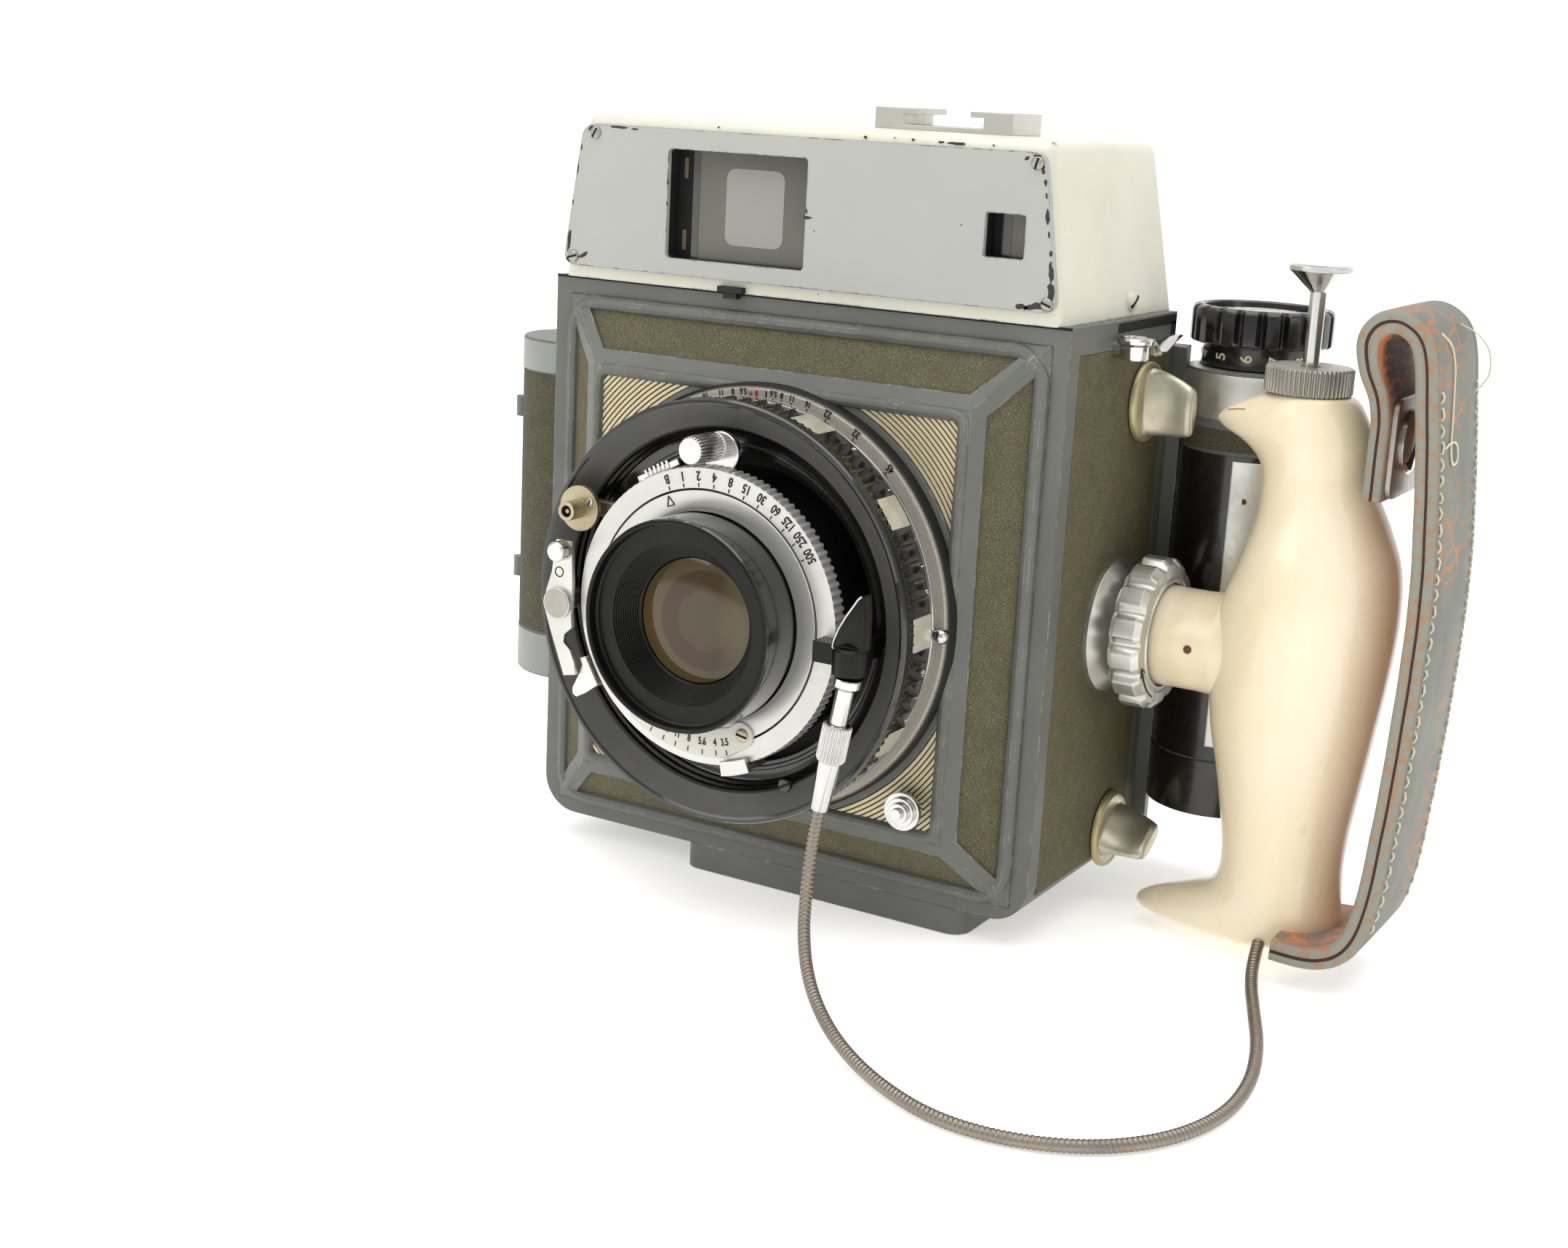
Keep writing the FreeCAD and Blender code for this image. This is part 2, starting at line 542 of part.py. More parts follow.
def make_lens():
    lens_piece("depth_scale_ring", [
        ("lens_bore", "body_depth / 2 + frame_rise"),
        ("scale_radius", "body_depth / 2 + frame_rise"),
        ("scale_radius", "scale_front - 1"), ("scale_radius - 1", "scale_front"),
        ("ring_radius - 1.6", "scale_front"), ("ring_radius - 1.6", "ring_back - 0.4"),
        ("lens_bore", "ring_back - 0.4")])
    lens_piece("focus_ring", [
        ("ring_bore", "ring_back"), ("ring_radius - 1.2", "ring_back"),
        ("ring_radius - 1.2", "ring_back + 2.4"), ("ring_radius", "ring_back + 2.4"),
        ("ring_radius", "ring_front"), ("ring_bore", "ring_front")])
    lens_piece("lens_cone", [
        ("rim_radius", "rim_front"), ("rim_radius", "rim_back"), ("tube_radius", "rim_back"),
        ("tube_radius", "dish_floor - 2"), ("dish_bore", "dish_floor - 2"),
        ("dish_bore", "dish_floor"), ("tube_radius - 2", "dish_floor"),
        ("tube_radius - 1.2", "rim_back + 0.6"), ("rim_radius - 1.5", "rim_front")])
    lens_piece("lens_tube", [
        ("tube_radius", "dish_floor - 2"), ("tube_radius", "tube_back"),
        ("tube_bore", "tube_back"), ("tube_bore", "web_front - web_thick"),
        ("rear_radius", "web_front - web_thick"), ("rear_radius", "22"),
        ("rear_radius - 2.2", "22"), ("rear_radius - 2.2", "web_front"),
        ("tube_bore", "web_front"), ("tube_bore", "dish_floor - 2")])
    lens_piece("speed_ring", [
        ("speed_bore", "speed_back"), ("speed_radius", "speed_back"),
        ("speed_radius", "speed_front"), ("speed_bore", "speed_front")])
    lens_piece("front_barrel", [
        ("barrel_radius", "barrel_front"), ("barrel_radius", "barrel_back"),
        ("barrel_radius - 0.3", "barrel_back"), ("barrel_radius - 0.3", "drum_front + 0.1"),
        ("barrel_seat - 0.1", "drum_front + 0.1"), ("barrel_seat - 0.1", "drum_front - cell_length"),
        ("15", "drum_front - cell_length"), ("15", "57"), ("glass_radius + 0.1", "58.5"),
        ("glass_radius + 0.1", "62"), ("filter_bore", "barrel_front - filter_depth"),
        ("filter_bore", "barrel_front")])
    lens_piece("front_element", [
        ("0", "56.6"), ("glass_radius", "56.6"), ("glass_radius", "60.2"),
        ("glass_radius * 0.75", "61.6"), ("glass_radius * 0.4", "62.4"), ("0", "62.7")])
    lens_piece("rear_element", [
        ("0", "24"), ("rear_radius - 2.3", "24"), ("rear_radius - 2.3", "28.5"),
        ("0", "29.5")])

    drum = turned("shutter_drum", "Y", LENS, forward([
        ("barrel_seat", "drum_front"), ("drum_radius", "drum_front"),
        ("drum_radius", "web_front"), ("stack_bore", "web_front"),
        ("stack_bore", "drum_front - cell_length"), ("barrel_seat", "drum_front - cell_length")]))
    post = rod("sync_post", "Y", ("pivot_across", "-drum_front", "pivot_height"), "2", "5")
    arm = block("sync_arm", ("pivot_across", "-drum_radius + 2"),
                ("-drum_front + 2", "-drum_front + 5"), ("pivot_height - 2", "pivot_height + 2"))
    keep("shutter_housing", join("shutter_housing_join", drum, post, arm))

    face = turned("shutter_face_disc", "Y", LENS, forward([
        ("barrel_radius", "drum_front"), ("face_radius", "drum_front"),
        ("face_radius", "face_front"), ("barrel_radius", "face_front")]))
    scale = shaped("aperture_scale", sector(
        dim("barrel_radius") + 1, dim("scale_reach"), dim("scale_start"), dim("scale_end"),
        dim("face_front") + dim("scale_thick"), dim("scale_thick")))
    keep("shutter_face", join("shutter_face_join", face, scale))

    reach = dim("blade_reach")
    thick = dim("blade_thick")
    starts = range(0, 360, 72)
    blades = [sector(dim("iris_opening"), reach, start, start + 110,
                     dim("iris_depth") + 0.3 * index, thick)
              for index, start in enumerate(starts)]
    keep("iris_blades", shaped("iris_blade_set", Part.makeCompound(blades)))
    blades = [sector(0.6, reach, start, start + 71, dim("shutter_depth"), thick)
              for start in starts]
    keep("shutter_blades", shaped("shutter_blade_set", Part.makeCompound(blades)))

    make_levers()


def make_levers():
    # cocking lever: an arm behind the speed ring, with a knurled knob that stands forward
    arm = block("cocking_arm", ("-3", "3"), ("-lever_front", "-lever_back"),
                ("lens_height + lever_start", "lens_height + lever_reach"))
    knob = rod("cocking_knob", "Y", ("0", "-knob_front", "lens_height + lever_reach - knob_radius"),
               "knob_radius", "knob_front - lever_back")
    keep("cocking_lever", join("cocking_lever_join", arm, knob))

    # release lever: a pointed finger in front of the dish, low on the left
    span = (dim("finger_start"), dim("finger_end"))
    inner = dim("finger_inner")
    outer = dim("finger_outer")
    front = dim("finger_front")
    reach = sector(dim("lever_start"), outer, *span, dim("lever_front"), 1.0)
    leg = sector(inner, outer, *span, front, front + 0.4 - dim("lever_front"))
    outline = ((inner, span[0]), (inner, span[1]), (33.0, 240.6), (36.2, 237.2),
               (36.8, 235.4), (36.3, 234), (34.0, span[0]))
    tip = [Vector(math.sin(math.radians(angle)) * radius, -front,
                  dim("lens_height") + math.cos(math.radians(angle)) * radius)
           for radius, angle in outline]
    finger = Part.Face(Part.makePolygon(tip + tip[:1])).extrude(Vector(0, 0.9, 0))
    keep("release_lever", shaped("release_lever_solid",
                                 reach.fuse([leg, finger]).removeSplitter()))

    # aperture lever: a bent tab under the speed ring
    span = (dim("tab_start"), dim("tab_end"))
    behind = dim("tab_leg")
    tab = sector(dim("tab_inner"), dim("tab_outer"), *span, dim("tab_front"), 1.0)
    leg = sector(behind, behind + 0.9, *span, dim("tab_front"), 6.6)
    keep("aperture_lever", shaped("aperture_lever_solid", tab.fuse(leg).removeSplitter()))

    # flash contact: a round flange on a stalk, with the coaxial socket in front
    across, height = "contact_across", "contact_height"
    parts = [rod("contact_flange", "Y", (across, "-contact_back - 1.2", height),
                 "contact_radius", "1.2"),
             rod("contact_tube", "Y", (across, "-contact_front", height), "1.9",
                 "contact_front - contact_back"),
             rod("contact_stalk", "Y", (across, "-contact_back - 0.7", height), "2.2", "3"),
             block("contact_arm", (across, "-20"), ("-drum_front", "-drum_front + 2.3"),
                   ("contact_height - 1.6", "contact_height + 1.4"))]
    contact = join("contact_join", *parts)
    keep("sync_socket", cut("sync_socket_cut", contact,
                            rod("contact_hole", "Y", (across, "-contact_front - 0.5", height),
                                "contact_bore", "4"),
                            rod("contact_clearance", "Y", LENS[:1] + ("-60",) + LENS[2:],
                                "drum_radius", "20")))

    # flash delay lever: a bright plate that turns on a post, with a small knob on top
    plate = slab("sync_plate", "front",
                 [("-28.9", "48.6"), ("-31.8", "48.0"), ("-33.6", "52.5"), ("-35.4", "57.0"),
                  ("-36.7", "60.5"), ("-36.7", "65.0"), ("-35.4", "69.0"), ("-34.4", "75.9"),
                  ("-30.6", "75.9"), ("-30.2", "67.5"), ("-30.4", "61.0"), ("-30.1", "58.2"),
                  ("-31.9", "56.6"), ("-32.1", "54.9"), ("-30.4", "53.5"), ("-29.3", "51.2")],
                 "58.4", "1")
    pivot = rod("sync_pivot", "Y", ("pivot_across", "-60.2", "pivot_height"), "3.2", "1.8")
    stud = rod("sync_stud", "Y", ("pivot_across", "-58.6", "pivot_height"), "1.9",
               "58.6 - drum_front - 0.3")
    thumb = rod("sync_thumb", "Y", ("-32.4", "-62.4", "74"), "2", "3.4")
    keep("sync_lever", join("sync_lever_join", plate, pivot, stud, thumb))

    # cable socket: an upright black boss beside the shutter, with a fin above it
    low = "socket_height"
    boss = rod("socket_boss", "Z", ("socket_across", "-socket_depth", low),
               "boss_radius", "6.4")
    fin = slab("socket_fin", "front",
               [("socket_across - 3.4", f"{low} + 5"), ("socket_across + 3.2", f"{low} + 5"),
                ("socket_across + 3.2", f"{low} + 15.4"), ("socket_across + 1", f"{low} + 13.2")],
               "socket_depth - 1.5", "3")
    arm = block("socket_arm", ("24", "socket_across"), ("-socket_depth", "-48"),
                (f"{low} + 1", f"{low} + 5"))
    ring_room = turned("socket_ring_room", "Y", LENS, forward([
        ("0", "40"), ("drum_radius", "40"), ("drum_radius", "52.8"), ("30.1", "52.8"),
        ("30.1", "64"), ("0", "64")]))
    keep("cable_socket", cut("cable_socket_cut",
                             join("cable_socket_join", boss, fin, arm), ring_room))

    # ferrule of the cable release: rim, stem, knurled nut and tapered sleeve, hanging down
    steps = [("2.7", "0"), ("2.7", "-2.2"), ("1.7", "-2.2"), ("1.7", "-9.6"), ("2.8", "-9.6"),
             ("2.8", "-17"), ("2.2", "-17"), ("1.7", "-27.2"), ("0", "-27.2"), ("0", "0")]
    ferrule = turned("cable_ferrule", "Z", ("socket_across", "-socket_depth", low), steps)
    tilt = Rotation(Vector(0, 1, 0), dim("ferrule_tilt"))
    ferrule.Placement = Placement(Vector(dim("socket_across"), -dim("socket_depth"),
                                         dim("socket_height") - 0.6), tilt * ALONG["Z"])
    bind(ferrule, "Placement.Base.z", "socket_height - 0.6")
    keep("cable_ferrule", ferrule)


# ---- extending back

def make_back():
    rods = [(f"{sign} * rod_across", f"rod_{level}", "rod_radius")
            for _, sign in MIRRORED for level in ("low", "high")]
    frame = slab("back_frame", "front",
                 rectangle("-back_half", "back_half", "back_low", "back_high"),
                 "-back_rear", "back_rear - back_front",
                 holes=[rectangle("1 - gate_half", "gate_half - 1",
                                  "lens_height - gate_height_half + 1",
                                  "lens_height + gate_height_half - 1")])
    keep("back_frame", cut("back_frame_cut", frame, rod(
        "chamber_room", "Z", ("takeup_across", "holder_back - takeup_radius", "0"),
        "takeup_radius + 0.3", "back_high + 1")))
    bars = [rod(f"extension_rod_{index}", "Y", (x, "back_front - rod_length", z), radius,
                "rod_length") for index, (x, z, radius) in enumerate(rods)]
    keep("extension_rods", group("extension_rod_set", *bars))
    keep("bellows", slab(
        "bellows", "front",
        rectangle("0.4 - gate_half", "gate_half - 0.4", "lens_height - gate_height_half + 0.4",
                  "lens_height + gate_height_half - 0.4"), "-back_front + 0.1", "12",
        holes=[rectangle("3.4 - gate_half", "gate_half - 3.4",
                         "lens_height - gate_height_half + 3.4",
                         "lens_height + gate_height_half - 3.4")]))
    half = "body_width / 2"
    for side, sign in MIRRORED:
        for level in ("low", "high"):
            name = f"lock_lever_{side}_{level}"
            centre = ("0", "lock_depth", f"rod_{level}")
            spindle = turned(name + "_spindle", "X", centre, [
                (radius, f"{sign} * ({reach})") for radius, reach in (
                    ("0", "rod_across + rod_radius + 0.3"),
                    ("lock_shaft", "rod_across + rod_radius + 0.3"),
                    ("lock_shaft", f"{half} + 0.3"), ("lock_radius", f"{half} + 0.3"),
                    ("lock_radius", f"{half} + 2.3"), ("lock_radius - 2.4", f"{half} + 4.2"),
                    ("0", f"{half} + 4.2"))])
            wing = Part.makeBox(dim("lock_reach") - dim("body_width") / 2 - 3,
                                dim("wing_thick"), 2 * dim("wing_half"),
                                Vector(0, -dim("wing_thick") / 2, -dim("wing_half")))
            wing.rotate(Vector(), Vector(1, 0, 0), dim(f"wing_turn_{level}"))
            start = dim("body_width") / 2 + 3 if sign > 0 else -dim("lock_reach")
            wing.translate(Vector(start, dim("lock_depth"), dim(f"rod_{level}")))
            keep(name, join(name + "_join", spindle, shaped(name + "_wing", wing)))


# ---- roll film holder

CHAMBERS = ("supply", "takeup")


def chamber_centre(side, height):
    return f"{side}_across", f"holder_back - {side}_radius", height


def holder_hull(name, inset, front, back, low, high):
    """Two round film chambers joined by a flat box that runs between their middles."""
    chambers = [rod(f"{name}_{side}", "Z", chamber_centre(side, low),
                    f"{side}_radius - ({inset})", f"({high}) - ({low})") for side in CHAMBERS]
    box = block(name + "_box", ("supply_across", "takeup_across"), (front, back), (low, high))
    return join(name, *chambers, box)


def make_holder():
    film_front = "holder_front + 3.2"
    film_middle = f"{film_front} + film_gap / 2"
    beside = ("supply_across - 30", "takeup_across + 30")
    between = ("supply_across + supply_radius", "takeup_across - takeup_radius")
    all_z = ("holder_low - 1", "holder_high + 1")

    outer = holder_hull("holder_outer", "0", "holder_front", "holder_back",
                        "holder_low", "holder_high")
    room = holder_hull("holder_room", "holder_wall", film_front, f"{film_front} + film_gap",
                       "holder_low + holder_lid", "holder_high - holder_lid")
    shell = cut("holder_shell", outer, room)
    front_zone = join("holder_front_zone",
                      block("chamber_fronts", beside, ("0", "split_depth"), all_z),
                      block("plate_front", between, ("split_depth", film_middle), all_z))
    back_zone = cut("holder_back_zone",
                    block("chamber_backs", beside, ("split_depth + 0.3", "60"), all_z),
                    block("plate_back", (f"{between[0]} - 0.3", f"{between[1]} + 0.3"),
                          ("0", f"{film_middle} + 0.3"), all_z))

    front_half = overlap("holder_front_half", shell, front_zone)
    cap = rod("winding_cap", "Z", chamber_centre("takeup", "holder_high"), "takeup_radius",
              "cap_high - holder_high")
    keep("film_holder", cut(
        "film_holder_cut", join("holder_with_cap", front_half, cap),
        block("film_gate", ("-picture_half", "picture_half"), ("0", film_front),
              ("lens_height - picture_height_half", "lens_height + picture_height_half")),
        block("slide_room", ("-slide_half - 0.4", "slide_half + 0.4"),
              ("holder_front + 1", "holder_front + 2.2"), ("slide_low - 0.4", "holder_high + 1")),
        block("door_top_gap", beside, ("split_depth", "60"), ("holder_high", "holder_high + 0.3")),
        rod("knob_hole", "Z", chamber_centre("takeup", "holder_high - 10"), "3.3", "30")))

    shaft_across = ("takeup_across - 3.3", "takeup_across + 3.3")
    rear_half = cut("holder_rear_half", overlap("holder_rear", shell, back_zone),
                    rod("door_shaft_hole", "Z", chamber_centre("takeup", "holder_high - 10"),
                        "3.3", "20"),
                    block("door_shaft_slot", shaft_across, ("0", "holder_back - takeup_radius"),
                          ("holder_high - 10", "holder_high + 10")))
    hinge = []
    for index, height in enumerate(("82.8", "41.8")):
        top = f"{height} + 5"
        hinge.append(rod(f"door_knuckle_{index}", "Z", ("hinge_across", "hinge_depth", height),
                         "1.6", "5"))
        hinge.append(block(f"door_strap_{index}", ("hinge_across - 0.8", "hinge_across + 0.8"),
                           ("hinge_depth", "split_depth + 2"), (height, top)))
        hinge.append(block(f"door_tab_{index}", ("hinge_across - 0.8", "hinge_across + 4"),
                           ("split_depth + 0.6", "split_depth + 2.2"), (height, top)))
    keep("film_door", join("film_door_join", rear_half, *hinge))

    keep("pressure_plate", block("pressure_pad", ("-45", "45"),
                                 (f"{film_front} + film_gap - 1", f"{film_front} + film_gap"),
                                 ("lens_height - 30", "lens_height + 30")))
    middle = "(holder_low + holder_high) / 2"
    for node, side in (("supply_spool", "supply"), ("take_up_spool", "takeup")):
        keep(node, turned(node, "Z", chamber_centre(side, middle), [
            ("2.2", "-spool_half"), ("spool_radius", "-spool_half"),
            ("spool_radius", "1 - spool_half"), ("core_radius", "1 - spool_half"),
            ("core_radius", "spool_half - 1"), ("spool_radius", "spool_half - 1"),
            ("spool_radius", "spool_half"), ("2.2", "spool_half")]))
    keep("winding_knob", turned("winding_knob", "Z", chamber_centre("takeup", "0"), [
        ("0", f"{middle} + spool_half + 0.2"), ("3", f"{middle} + spool_half + 0.2"),
        ("3", "cap_high + 0.3"), ("skirt_radius", "cap_high + 0.3"),
        ("skirt_radius", "knob_low"), ("wind_radius", "knob_low"),
        ("wind_radius", "knob_high"), ("0", "knob_high")]))
    blade = block("slide_blade", ("-slide_half", "slide_half"),
                  ("holder_front + 1.2", "holder_front + 2"), ("slide_low", "holder_high + 0.6"))
    handle = block("slide_handle", ("-slide_half", "slide_half"),
                   ("holder_front + 0.3", "holder_front + 4"),
                   ("holder_high + 0.5", "holder_high + 4"))
    keep("dark_slide", join("dark_slide_join", blade, handle))


# ---- side grip, cable release plunger and hand strap

GRIP_SECTIONS = (  # height, middle across, half width
    (10.0, 100.5, 12.0), (20.0, 100.9, 12.0), (35.0, 100.2, 13.6), (48.0, 99.8, 16.0),
    (60.0, 100.1, 17.2), (72.0, 100.9, 17.1), (86.0, 102.4, 14.6), (96.0, 99.7, 10.9),
    (104.0, 99.4, 10.8), (110.0, 98.4, 10.8), (114.0, 97.2, 9.6))
STRAP_ROUTE = (  # across and height of the middle of the leather, from the plate to the end
    (113.2, 97.0), (113.2, 102.0), (113.2, 107.0), (113.2, 112.0), (112.6, 116.6),
    (110.9, 121.6), (110.6, 127.0), (113.0, 130.2),
    (117.2, 130.2), (121.0, 125.8), (123.0, 112.0), (124.4, 98.0), (125.4, 84.0),
    (125.4, 68.0), (124.8, 52.0), (123.8, 36.0), (122.4, 21.0), (119.6, 11.6), (114.0, 7.6),
    (105.0, 7.4))
SHEATH_ROUTE = (  # the cable's middle line, from the grip's underside to the ferrule
    (100.6, -4.0, 6.6), (101.4, -9.6, 3.9), (103.6, -17.2, 1.9), (108.4, -29.0, 1.3),
    (114.4, -44.0, 1.3), (118.4, -60.0, 1.3), (118.6, -75.0, 1.3), (113.8, -88.4, 1.3),
    (104.6, -98.4, 1.3), (92.4, -103.8, 1.3), (79.4, -104.4, 1.3), (66.8, -99.6, 1.5),
    (55.6, -92.8, 2.2), (46.4, -85.6, 4.2), (38.9, -78.0, 7.4), (33.6, -70.8, 12.2),
    (31.1, -66.1, 17.4), (29.95, -63.3, 22.8), (29.87, -62.05, 28.36), (30.65, -62.0, 33.5))


def make_grip():
    half = "body_width / 2"
    centre = ("0", "grip_depth", "grip_height")
    keep("grip_socket", turned("grip_socket", "X", centre, [
        ("0", half), ("flange_radius", half), ("flange_radius", f"{half} + 1"),
        ("flange_radius - 4.4", "flange_end"), ("spigot_radius", "flange_end"),
        ("spigot_radius", "lock_ring_end - 1.8"), ("0", "lock_ring_end - 1.8")]))
    keep("grip_lock_ring", turned("grip_lock_ring", "X", centre, [
        ("spigot_radius + 0.3", "lock_ring_start"), ("lock_ring_radius - 2", "lock_ring_start"),
        ("lock_ring_radius", "lock_ring_start + 1.2"), ("lock_ring_radius", "lock_ring_end - 1.2"),
        ("lock_ring_radius - 1.6", "lock_ring_end"), ("neck_radius + 0.4", "lock_ring_end"),
        ("neck_radius + 0.4", "lock_ring_end - 1.3"),
        ("spigot_radius + 0.3", "lock_ring_end - 1.3")]))

    rings = []
    for index, (height, middle, width) in enumerate(GRIP_SECTIONS):
        ring = doc.addObject("Part::Ellipse", f"grip_section_{index}")
        ring.MajorRadius = width
        bind(ring, "MinorRadius", f"{width} * grip_flatness")
        rings.append(put(ring, (str(middle), "grip_depth", str(height))))
    column = doc.addObject("Part::Loft", "grip_column")
    column.Sections = rings
    column.Solid = True
    neck = rod("grip_neck", "X", ("lock_ring_end - 1", "grip_depth", "grip_height"),
               "neck_radius", "neck_end - lock_ring_end + 1")
    horns = []
    for name, across, height, sizes in (("low_horn", "87.5", "10.2", (5.6, 16, 10.5)),
                                        ("high_horn", "89.5", "107.4", (4.6, 11, 8))):
        horn = doc.addObject("Part::Ellipsoid", name)
        horn.Radius1, horn.Radius2, horn.Radius3 = sizes
        horns.append(put(horn, (across, "grip_depth", height)))
    bore = rod("plunger_bore", "Z", ("plunger_across", "grip_depth", "60"), "2.4", "60")
    sheath_bore = doc.addObject("Part::Cylinder", "sheath_bore")
    bind(sheath_bore, "Radius", "sheath_diameter / 2 + 0.6")
    sheath_bore.Height = 16
    start, following = (Vector(*point) for point in SHEATH_ROUTE[:2])
    sheath_bore.Placement = Placement(start, Rotation(Vector(0, 0, 1), start - following))
    solid = join("grip_join", column, neck, *horns)
    keep("hand_grip", cut("hand_grip_cut", solid, bore, sheath_bore))

    head = ("plunger_across", "grip_depth", "0")
    keep("grip_collar", turned("grip_collar", "Z", head, [
        ("plunger_radius + 0.3", "collar_low"), ("collar_radius", "collar_low"),
        ("collar_radius", "collar_high"), ("plunger_radius + 0.3", "collar_high")]))
    keep("plunger", turned("plunger", "Z", head, [
        ("0", "76"), ("plunger_radius", "76"), ("plunger_radius", "plunger_top - 5.2"),
        ("plunger_head", "plunger_top - 1.2"), ("plunger_head", "plunger_top - 0.4"),
        ("plunger_head - 0.8", "plunger_top"), ("0", "plunger_top")]))

    lugs = []
    for side, sign in MIRRORED:
        low = half if sign > 0 else f"-{half} - 4"
        lugs.append(join(
            f"lug_{side}",
            rod(f"lug_post_{side}", "X", (low, "-5", "120"), "1.8", "4"),
            rod(f"lug_eye_{side}", "Z", (f"{sign} * (body_width / 2 + 4.6)", "-5", "117.8"),
                "3.2", "4.4"),
            block(f"lug_tongue_{side}", (f"{sign} * (body_width / 2 + 4.4) - 2.2",
                                         f"{sign} * (body_width / 2 + 4.4) + 2.2"),
                  ("-5", "9"), ("119.4", "120.6"))))
    keep("strap_lugs", group("strap_lug_pair", *lugs))


def smooth_outline(route, thick):
    """A closed wire on both sides of a route in the XZ plane, smooth along the route."""
    points = [Vector(x, 0, z) for x, z in route]
    sides = ([], [])
    for index, point in enumerate(points):
        before = points[max(index - 1, 0)]
        after = points[min(index + 1, len(points) - 1)]
        along = (after - before).normalize()
        normal = Vector(along.z, 0, -along.x) * (thick / 2)
        sides[0].append(point + normal)
        sides[1].append(point - normal)
    curves = []
    for side in (sides[0], sides[1][::-1]):
        curve = Part.BSplineCurve()
        curve.interpolate(side)
        curves.append(curve.toShape())
    ends = [Part.LineSegment(sides[0][-1], sides[1][-1]).toShape(),
            Part.LineSegment(sides[1][0], sides[0][0]).toShape()]
    return Part.Wire([curves[0], ends[0], curves[1], ends[1]])


def make_strap():
    wire = smooth_outline(STRAP_ROUTE, dim("strap_thick"))
    strap = Part.Face(wire).extrude(Vector(0, dim("strap_near") + dim("strap_far"), 0))
    strap.translate(Vector(0, -dim("strap_near"), 0))
    keep("hand_strap", shaped("hand_strap_band", strap))
    plate = block("strap_plate_top", ("115.1", "116.1"), ("grip_depth - 10", "grip_depth + 10"),
                  ("98.5", "116"))
    keep("strap_plates", soften("strap_plate_rounded", plate, 2.5,
                                lambda edge: runs_along(edge, Vector(1, 0, 0))))
    keep("strap_screws", rod("strap_screw", "X", ("116.1", "grip_depth - 1", "108.5"), "6.2",
                             "1.6"))


def sheath_path(route):
    """Straight runs joined by arcs as large as the two runs beside each allow."""
    points = [Vector(*point) for point in route]
    edges = []
    radii = []
    last = points[0]
    for before, corner, after in zip(points, points[1:], points[2:]):
        inbound = (corner - before).normalize()
        outbound = (after - corner).normalize()
        turn = inbound.getAngle(outbound)
        reach = 0.45 * min((corner - before).Length, (after - corner).Length)
        radii.append(reach / math.tan(turn / 2))
        start = corner - inbound * reach
        end = corner + outbound * reach
        inner = (outbound - inbound).normalize()
        sag = radii[-1] * (1 / math.cos(turn / 2) - 1)
        edges.append(Part.LineSegment(last, start).toShape())
        edges.append(Part.Arc(start, corner + inner * sag, end).toShape())
        last = end
    edges.append(Part.LineSegment(last, points[-1]).toShape())
    return Part.Wire(edges), radii


def make_sheath():
    path, radii = sheath_path(SHEATH_ROUTE)
    radius = dim("sheath_diameter") / 2
    start, following = (Vector(*point) for point in SHEATH_ROUTE[:2])
    circle = Part.Wire([Part.Circle(start, following - start, radius).toShape()])
    tube = path.makePipeShell([circle], True, False)
    keep("cable_sheath", shaped("cable_sheath_tube", tube))
    expected = math.pi * radius ** 2 * path.Length
    print(f"sheath: {path.Length:.1f} mm long, least radius {min(radii):.1f} mm, "
          f"volume {tube.Volume / expected:.4f} of its section times its length")


def check_and_export():
    doc.recompute()
    for item in doc.Objects:
        if "Invalid" in item.State or "Error" in item.State:
            sys.exit(f"{item.Name} failed: {item.State}")
    for node, item in finished.items():
        if item.Shape.isNull() or not item.Shape.isValid() or not item.Shape.Solids:
            sys.exit(f"{node} has no sound shape")
    os.makedirs("parts", exist_ok=True)
    for old in os.listdir("parts"):
        if old.endswith(".step") and old[:-5] not in finished:
            os.remove(os.path.join("parts", old))
    for node, item in finished.items():
        item.Shape.exportStep(os.path.join("parts", node + ".step"))
    print(len(finished), "sub-parts written")


make_body()
make_front()
make_finder()
make_lens()
make_back()
make_holder()
make_grip()
make_strap()
make_sheath()
check_and_export()
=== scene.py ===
"""Press camera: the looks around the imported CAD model. Lengths in this file are millimetres
until a mesh is made, in the CAD frame: +X the grip side, -Y where the lens looks, +Z up."""
import math
import random

import bmesh
import bpy
import numpy as np
from mathutils import Matrix, Vector
from mathutils.geometry import tessellate_polygon


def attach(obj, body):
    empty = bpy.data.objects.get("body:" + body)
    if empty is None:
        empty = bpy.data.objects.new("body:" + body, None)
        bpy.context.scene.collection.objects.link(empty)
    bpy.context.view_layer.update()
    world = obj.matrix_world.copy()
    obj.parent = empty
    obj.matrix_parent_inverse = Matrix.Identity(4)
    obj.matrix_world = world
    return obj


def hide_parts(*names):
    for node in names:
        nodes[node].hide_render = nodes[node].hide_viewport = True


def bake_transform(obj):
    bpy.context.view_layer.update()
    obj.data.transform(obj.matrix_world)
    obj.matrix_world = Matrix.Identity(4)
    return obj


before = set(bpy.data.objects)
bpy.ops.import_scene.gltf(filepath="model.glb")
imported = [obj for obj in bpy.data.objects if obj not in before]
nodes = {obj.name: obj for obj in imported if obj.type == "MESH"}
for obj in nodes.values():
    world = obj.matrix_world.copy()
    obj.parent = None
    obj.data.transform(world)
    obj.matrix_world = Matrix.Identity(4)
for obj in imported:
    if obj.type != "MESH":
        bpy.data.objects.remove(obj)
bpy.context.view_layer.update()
MM = 0.001
scene = bpy.context.scene

# ---- camera, set up as the photograph was taken

CAMERA_AT = Vector((220.404, -404.885, 166.989))
YAW, PITCH, ROLL = -0.527, -0.244, 0.051
FOCAL_PIXELS, PICTURE_WIDTH = 2988.0, 2156


